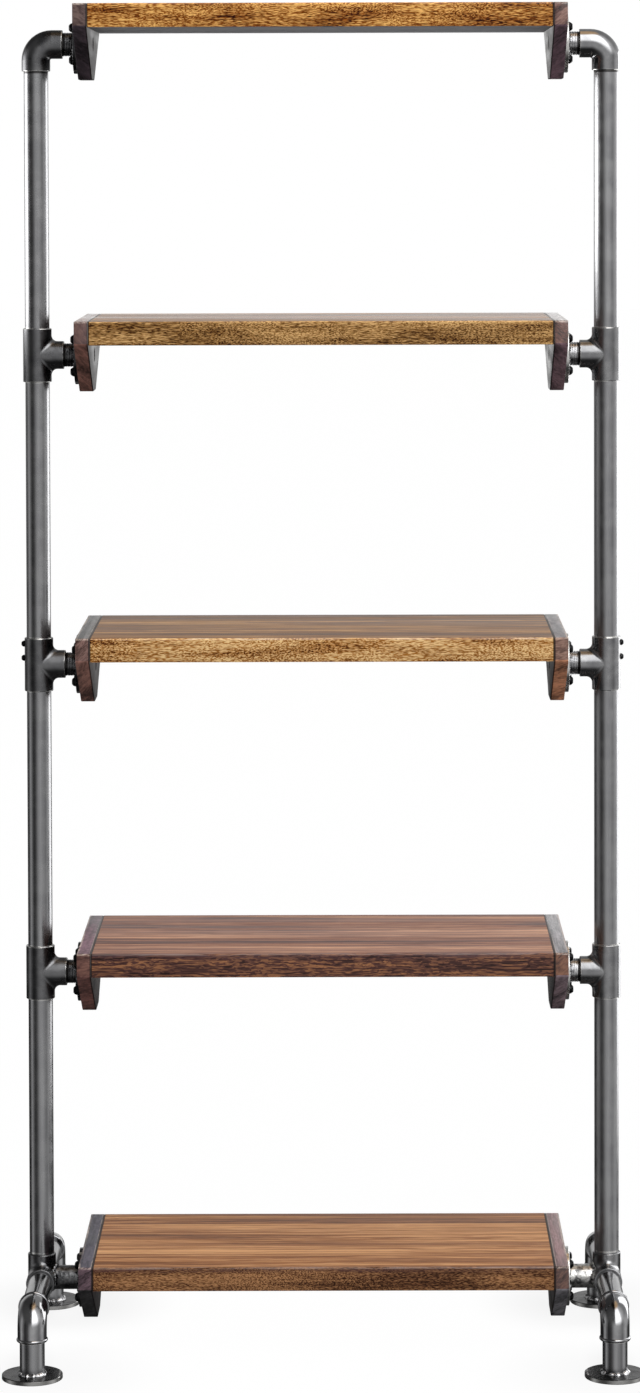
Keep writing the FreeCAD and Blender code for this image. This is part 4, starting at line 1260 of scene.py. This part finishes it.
# %% [markdown]
# ## Tone of the room
# Steel shows its surroundings more than its own colour, so the room decides how the pipes look. A real
# studio is bright with dark gaps between its lamps and screens. It could be built from many panels, but a
# tone for each direction is simpler. At the height of the posts it is bright in front, beside and behind,
# with dark gaps to the front left and the rear left. Higher up only the front right is bright, overhead
# the right is warm, and it is dark underfoot and low behind.

# %% Tone of the room
# Degrees from the front towards the right, and the tone there.
LEVEL_TONES = [(-180, 0.95), (-150, 0.6), (-122, 0.2), (-104, 0.45), (-90, 0.9), (-76, 0.4), (-56, 0.05),
               (-32, 0.14), (-8, 0.76), (14, 0.84), (40, 0.62), (60, 0.42), (84, 0.95), (110, 1.0),
               (150, 0.9), (180, 0.95)]
HIGH_TONES = [(-180, 0.02), (-120, 0.02), (-60, 0.03), (-10, 0.04), (-2, 0.1), (2, 0.6), (6, 1.0), (45, 1.0),
              (62, 0.3), (100, 0.12), (180, 0.1)]
HIGH_STRENGTH = 4.4
BLACK = (0.0, 0.0, 0.0, 1.0)
WHITE = (1.0, 1.0, 1.0, 1.0)
OVERHEAD_LEFT = BLACK
OVERHEAD_RIGHT = (1.4, 0.95, 0.55, 1.0)
UNDERFOOT_TONE = screen_colour(60, 60, 60)
# Where one tone gives way to the next, from -1 straight down to 1 straight up, and so for the other axes.
HIGH_RISE = (0.12, 0.5)
OVERHEAD_RISE = (0.9, 0.99)
OVERHEAD_MIDDLE = (-0.06, 0.06)
UNDERFOOT_RISE = (-0.8, -0.3)
LOW_RISE = (-0.2, 0.0)
BEHIND_REACH = (0.0, 0.5)
LOW_BEHIND = 0.9


def tone_ramp(tree, share, tones):
    """Greys by direction, for a share of the full turn."""
    stops = [((degrees + 180) / 360, (tone, tone, tone, 1.0)) for degrees, tone in tones]
    return colour_ramp(tree, share, stops)


def build_studio_tone():
    """How bright the room looks in a direction."""
    group, given, result = new_group("studio_tone", ["Direction"], [], ["Tone"], kind="Color")
    axes = split_axes(group, given.outputs["Direction"])
    angle = maths(group, "ARCTAN2", axes["X"], maths(group, "MULTIPLY", axes["Y"], -1.0))
    share = maths(group, "MULTIPLY_ADD", angle, 1 / FULL_TURN, 0.5)
    high = add(group, "VectorMath", {0: tone_ramp(group, share, HIGH_TONES), "Scale": HIGH_STRENGTH},
               operation="SCALE").outputs[0]
    low = spread(group, axes["Z"], *LOW_RISE, LOW_BEHIND, 0.0)
    low_behind = maths(group, "MULTIPLY", low, spread(group, axes["Y"], *BEHIND_REACH))
    tone = blend_colours(group, low_behind, tone_ramp(group, share, LEVEL_TONES), BLACK)
    tone = blend_colours(group, spread(group, axes["Z"], *HIGH_RISE), tone, high)
    right = spread(group, axes["X"], *OVERHEAD_MIDDLE)
    overhead = blend_colours(group, right, OVERHEAD_LEFT, OVERHEAD_RIGHT)
    tone = blend_colours(group, spread(group, axes["Z"], *OVERHEAD_RISE), tone, overhead)
    underfoot = spread(group, axes["Z"], *UNDERFOOT_RISE, 1.0, 0.0)
    give_out(group, result, {"Tone": blend_colours(group, underfoot, tone, UNDERFOOT_TONE)})
    return group


studio_tone = build_studio_tone()
print("studio tones:", len(LEVEL_TONES) + len(HIGH_TONES))

# %% [markdown]
# ## Floor
# The unit stands on a white sweep that shows only a soft shadow round the feet. More light would make a
# grey floor white, but it would bleach the wood too. So the floor glows white for the camera alone, with
# a share of plain paint that is larger near a foot and keeps the shadow. For all other light it is grey
# and throws a little of it back up. It is left out of reflections, because the tone of the room is already
# dark underfoot.

# %% Floor
FLOOR_SIZE = 40.0
FLOOR_PAINT = (0.9, 0.9, 0.9, 1.0)
FLOOR_GREY = (0.42, 0.42, 0.42, 1.0)
SHADOW_REACH = (0.04, 0.2)
GLOW_SHARES = (0.84, 0.995)
foot_low, foot_high = node_box("right_rear_foot_plate")
FOOT_PLACE = ((foot_low.x + foot_high.x) / 2, (foot_low.y + foot_high.y) / 2, 0.0)


def build_floor_paint():
    """Paint that is white to the camera, apart from the shadow round each foot."""
    material, tree, shader = new_finish("floor_paint", Base_Color=FLOOR_PAINT, Roughness=0.9,
                                        Specular_IOR_Level=0.0)
    mirrored = add(tree, "VectorMath", {0: object_place(tree)}, operation="ABSOLUTE").outputs[0]
    foot_gap = add(tree, "VectorMath", {0: mirrored, 1: FOOT_PLACE}, operation="DISTANCE").outputs["Value"]
    glow_share = spread(tree, foot_gap, *SHADOW_REACH, *GLOW_SHARES)
    glow = add(tree, "Emission", {"Color": WHITE, "Strength": 1.0}).outputs[0]
    seen = add(tree, "MixShader", {0: glow_share, 1: shader.outputs[0], 2: glow}).outputs[0]
    bounce = add(tree, "BsdfDiffuse", {"Color": FLOOR_GREY}).outputs[0]
    to_camera = add(tree, "LightPath").outputs["Is Camera Ray"]
    mixed = add(tree, "MixShader", {0: to_camera, 1: bounce, 2: seen}).outputs[0]
    tree.links.new(mixed, tree.nodes["Material Output"].inputs["Surface"])
    return material


floor_shape = bmesh.new()
bmesh.ops.create_grid(floor_shape, x_segments=1, y_segments=1, size=FLOOR_SIZE)
floor_mesh = bpy.data.meshes.new("floor")
floor_shape.to_mesh(floor_mesh)
floor_shape.free()
floor_mesh.materials.append(build_floor_paint())
floor = bpy.data.objects.new("floor", floor_mesh)
bpy.context.scene.collection.objects.link(floor)
floor.visible_glossy = False
print("floor:", FLOOR_SIZE * 2, "m across")

# %% [markdown]
# ## World
# The backdrop is white behind the unit, gives a soft even light from all sides, and is the room that the
# steel mirrors. One background can't be all three. The Light Path node tells what kind of ray arrives, so
# the camera gets white, reflections get the tone of the room, and everything else a plain grey.

# %% World
AMBIENT = 0.4
world = bpy.data.worlds.new("studio")
bpy.context.scene.world = world
world.use_nodes = True
tree = world.node_tree
tree.nodes.clear()
path = add(tree, "LightPath").outputs
direction = add(tree, "TexCoord").outputs["Generated"]
tone = place_group(tree, studio_tone, {"Direction": direction})["Tone"]
colour = blend_colours(tree, path["Is Glossy Ray"], (AMBIENT, AMBIENT, AMBIENT, 1.0), tone)
colour = blend_colours(tree, path["Is Camera Ray"], colour, WHITE)
backdrop = add(tree, "Background", {"Color": colour, "Strength": 1.0}).outputs[0]
tree.links.new(backdrop, add(tree, "OutputWorld").inputs["Surface"])
print("world: ambient", AMBIENT)

# %% [markdown]
# ## Lamps
# A large soft key stands high in front of the unit, with two weak fills lower down, to the right and the
# left. They light the wood and are left out of reflections, where they would show as spots. Panels that
# only reflections see help to draw the bright lines along the posts: a large one at the right rear, and
# two small ones with a narrow fan, close to the upper posts.

# %% Lamps
PANEL_FAN = math.radians(70)


def add_lamp(name, place, aim, width, height, power, glossy=True, diffuse=True, fan=HALF_TURN):
    """A soft rectangle of light; it may be left out of reflections, or light only them."""
    light = bpy.data.lights.new(name, "AREA")
    light.shape = "RECTANGLE"
    light.size = width
    light.size_y = height
    light.energy = power
    light.spread = fan
    lamp = bpy.data.objects.new(name, light)
    lamp.location = place
    lamp.rotation_euler = (Vector(aim) - Vector(place)).to_track_quat("-Z", "Y").to_euler()
    lamp.visible_camera = False
    lamp.visible_glossy = glossy
    lamp.visible_diffuse = diffuse
    bpy.context.scene.collection.objects.link(lamp)


UNIT_MIDDLE = (0.0, 0.0, 0.95)
RIGHT_REAR = (0.3, 0.75, 1.0)
LEFT_POST = (-0.388, 0.0, 1.8)
RIGHT_POST = (0.388, 0.0, 1.744)
add_lamp("key", (0.6, -6.0, 7.2), UNIT_MIDDLE, 3.0, 3.0, 560.0, glossy=False)
add_lamp("right_fill", (1.9, -4.0, 1.2), UNIT_MIDDLE, 2.0, 2.4, 20.0, glossy=False)
add_lamp("left_fill", (-2.4, -3.8, 1.0), UNIT_MIDDLE, 1.6, 2.0, 14.0, glossy=False)
add_lamp("right_panel", (1.3, 1.05, 1.0), RIGHT_REAR, 1.1, 2.0, 22.0, diffuse=False)
add_lamp("left_panel", (-0.864, 0.155, 1.62), LEFT_POST, 0.5, 0.55, 1.1, diffuse=False, fan=PANEL_FAN)
add_lamp("inner_panel", (-0.035, 0.154, 1.58), RIGHT_POST, 0.45, 0.3, 0.55, diffuse=False, fan=PANEL_FAN)
print("lamps:", len(bpy.data.lights))
